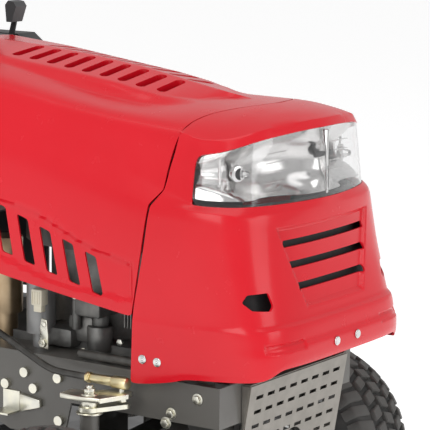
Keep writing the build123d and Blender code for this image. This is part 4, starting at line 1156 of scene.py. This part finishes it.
def makeArm(side):
    low, high = joint["armLow"], joint["armHigh"]
    points = [(-291, -506), (-258, -504), (-250, -535), (-216, -566), (-214, -590), (-236, -598), (-286, -580),
              (-293, -548)]
    if side > 0:
        points = [(-x, y) for x, y in reversed(points)]
    x = side * 272
    parts = [prism(points, "z", low, high, 1.4), rod((x, -550, 386), (x, -550, low), 13, 32, 0.8),
             rod((x, -550, high), (x, -550, high + 2.2), 13.5, 36, 0.6),
             hexHead((x, -550, high + 2), (0, 0, 1), 9.5, 8),
             rod((x, -550, high + 8), (x, -550, high + 15), 5.4, 24, 1),
             rod((side * joint["x"], joint["y"], low - 8), (side * joint["x"], joint["y"], joint["z"] - 6), 5, 24,
                 0.6),
             hexHead((side * joint["x"], joint["y"], low - 9), (0, 0, 1), 9, 8)]
    parts.append(rod((x, -550, 376), (x, -550, 379), 21, 40, 0.8))
    return joined(parts)


for side, word in ((1, "left"), (-1, "right")):
    dressed(makeLink(side), f"steering_link_{word}", f"drag_link_{word}", framePaint,
            [f"drag_link_{word}"])
    dressed(makeSocket(side), f"link_socket_{word}", f"drag_link_{word}", goldZinc)
    dressed(makeArm(side), f"knuckle_arm_{word}", f"knuckle_{word}", zincPlate)
print("engine bay made")


# The skid plates under the front of the frame.

def makeSkid():
    front = prism([(-716, 360), (-716, 296), (-690, 262), (-480, 262), (-462, 290), (-462, 360), (-470, 360),
                   (-470, 292), (-484, 270), (-686, 270), (-708, 298), (-708, 360)], "x", -150, -60, 1.5)
    return joined([front, mirroredX(front)])


dressed(makeSkid(), "skid_plates", "chassis", framePaint)


# The pan screws on the nose, two on each side and two in front.

def makeScrewHeads():
    heads = []
    for side in (-1, 1):
        for y, z in ((-616, 462), (-644, 461)):
            x = side * 224.6
            heads += [rod((x, y, z), (x + side * 1.8, y, z), 7.4, 40, 0.9),
                      rod((x + side * 1.2, y, z), (x + side * 2.6, y, z), 2.4, 6, 0.4)]
        heads.append(rod((side * 31, -848.6, 488), (side * 31, -850.4, 488), 7.2, 40, 0.9))
    return joined(heads)


dressed(makeScrewHeads(), "nose_screw_heads", "hood", brightSteel)
print("trim made")


# The camera, the floor and the lights.

view = {"azimuth": -56.1329, "elevation": 9.6947, "roll": 0.6963, "place": (-3.01348, -2.61905, 1.27525),
        "lens": 191.2}


def makeCamera():
    data = bpy.data.cameras.new("camera")
    data.sensor_width, data.lens, data.clip_start, data.clip_end = 36, view["lens"], 0.05, 60
    obj = bpy.data.objects.new("camera", data)
    bpy.context.collection.objects.link(obj)
    a, e, r = (radians(view[key]) for key in ("azimuth", "elevation", "roll"))
    back = Vector((sin(a) * cos(e), -cos(a) * cos(e), sin(e)))
    level = Vector((cos(a), sin(a), 0))
    rise = back.cross(level)
    right, up = level * cos(r) + rise * sin(r), rise * cos(r) - level * sin(r)
    turn = Matrix((right, up, back)).transposed()
    obj.matrix_world = Matrix.Translation(Vector(view["place"])) @ turn.to_4x4()
    bpy.context.scene.camera = obj


def makeStage():
    bpy.ops.mesh.primitive_plane_add(size=30)
    floor = bpy.context.object
    floor.name = "floor"
    material = bpy.data.materials.new("paleFloor")
    material.use_nodes = True
    shader = material.node_tree.nodes["Principled BSDF"]
    shader.inputs["Base Color"].default_value = (0.9, 0.9, 0.9, 1)
    shader.inputs["Emission Color"].default_value = (1, 1, 1, 1)
    shader.inputs["Emission Strength"].default_value = 0.4
    shader.inputs["Roughness"].default_value = 0.8
    floor.data.materials.append(material)
    world = bpy.data.worlds.new("studio")
    world.use_nodes = True
    tree = world.node_tree
    rays, level = tree.nodes.new("ShaderNodeLightPath"), tree.nodes.new("ShaderNodeMapRange")
    level.inputs["To Min"].default_value, level.inputs["To Max"].default_value = 0.62, 1.0
    tree.links.new(rays.outputs["Is Camera Ray"], level.inputs["Value"])
    tree.links.new(level.outputs["Result"], tree.nodes["Background"].inputs["Strength"])
    tree.nodes["Background"].inputs["Color"].default_value = (1, 1, 1, 1)
    bpy.context.scene.world = world
    bpy.context.scene.view_settings.view_transform = "Standard"


def areaLight(name, place, target, size, power):
    data = bpy.data.lights.new(name, "AREA")
    data.shape, data.size, data.energy = "SQUARE", size, power
    obj = bpy.data.objects.new(name, data)
    bpy.context.collection.objects.link(obj)
    obj.location = place
    obj.rotation_mode = "QUATERNION"
    obj.rotation_quaternion = (Vector(place) - Vector(target)).to_track_quat("Z", "Y")


lamps = {"overhead": ((-0.6, -0.8, 4.2), (0, -0.2, 0.6), 3.2, 48),   # place, target, size, power
         "sideFill": ((-4.2, -0.6, 2.2), (0, -0.3, 0.6), 2.4, 58),
         "frontFill": ((0.4, -4.6, 1.8), (0, -0.6, 0.6), 2.0, 30)}

makeCamera()
makeStage()
for name, values in lamps.items():
    areaLight(name, *values)
print("stage made")
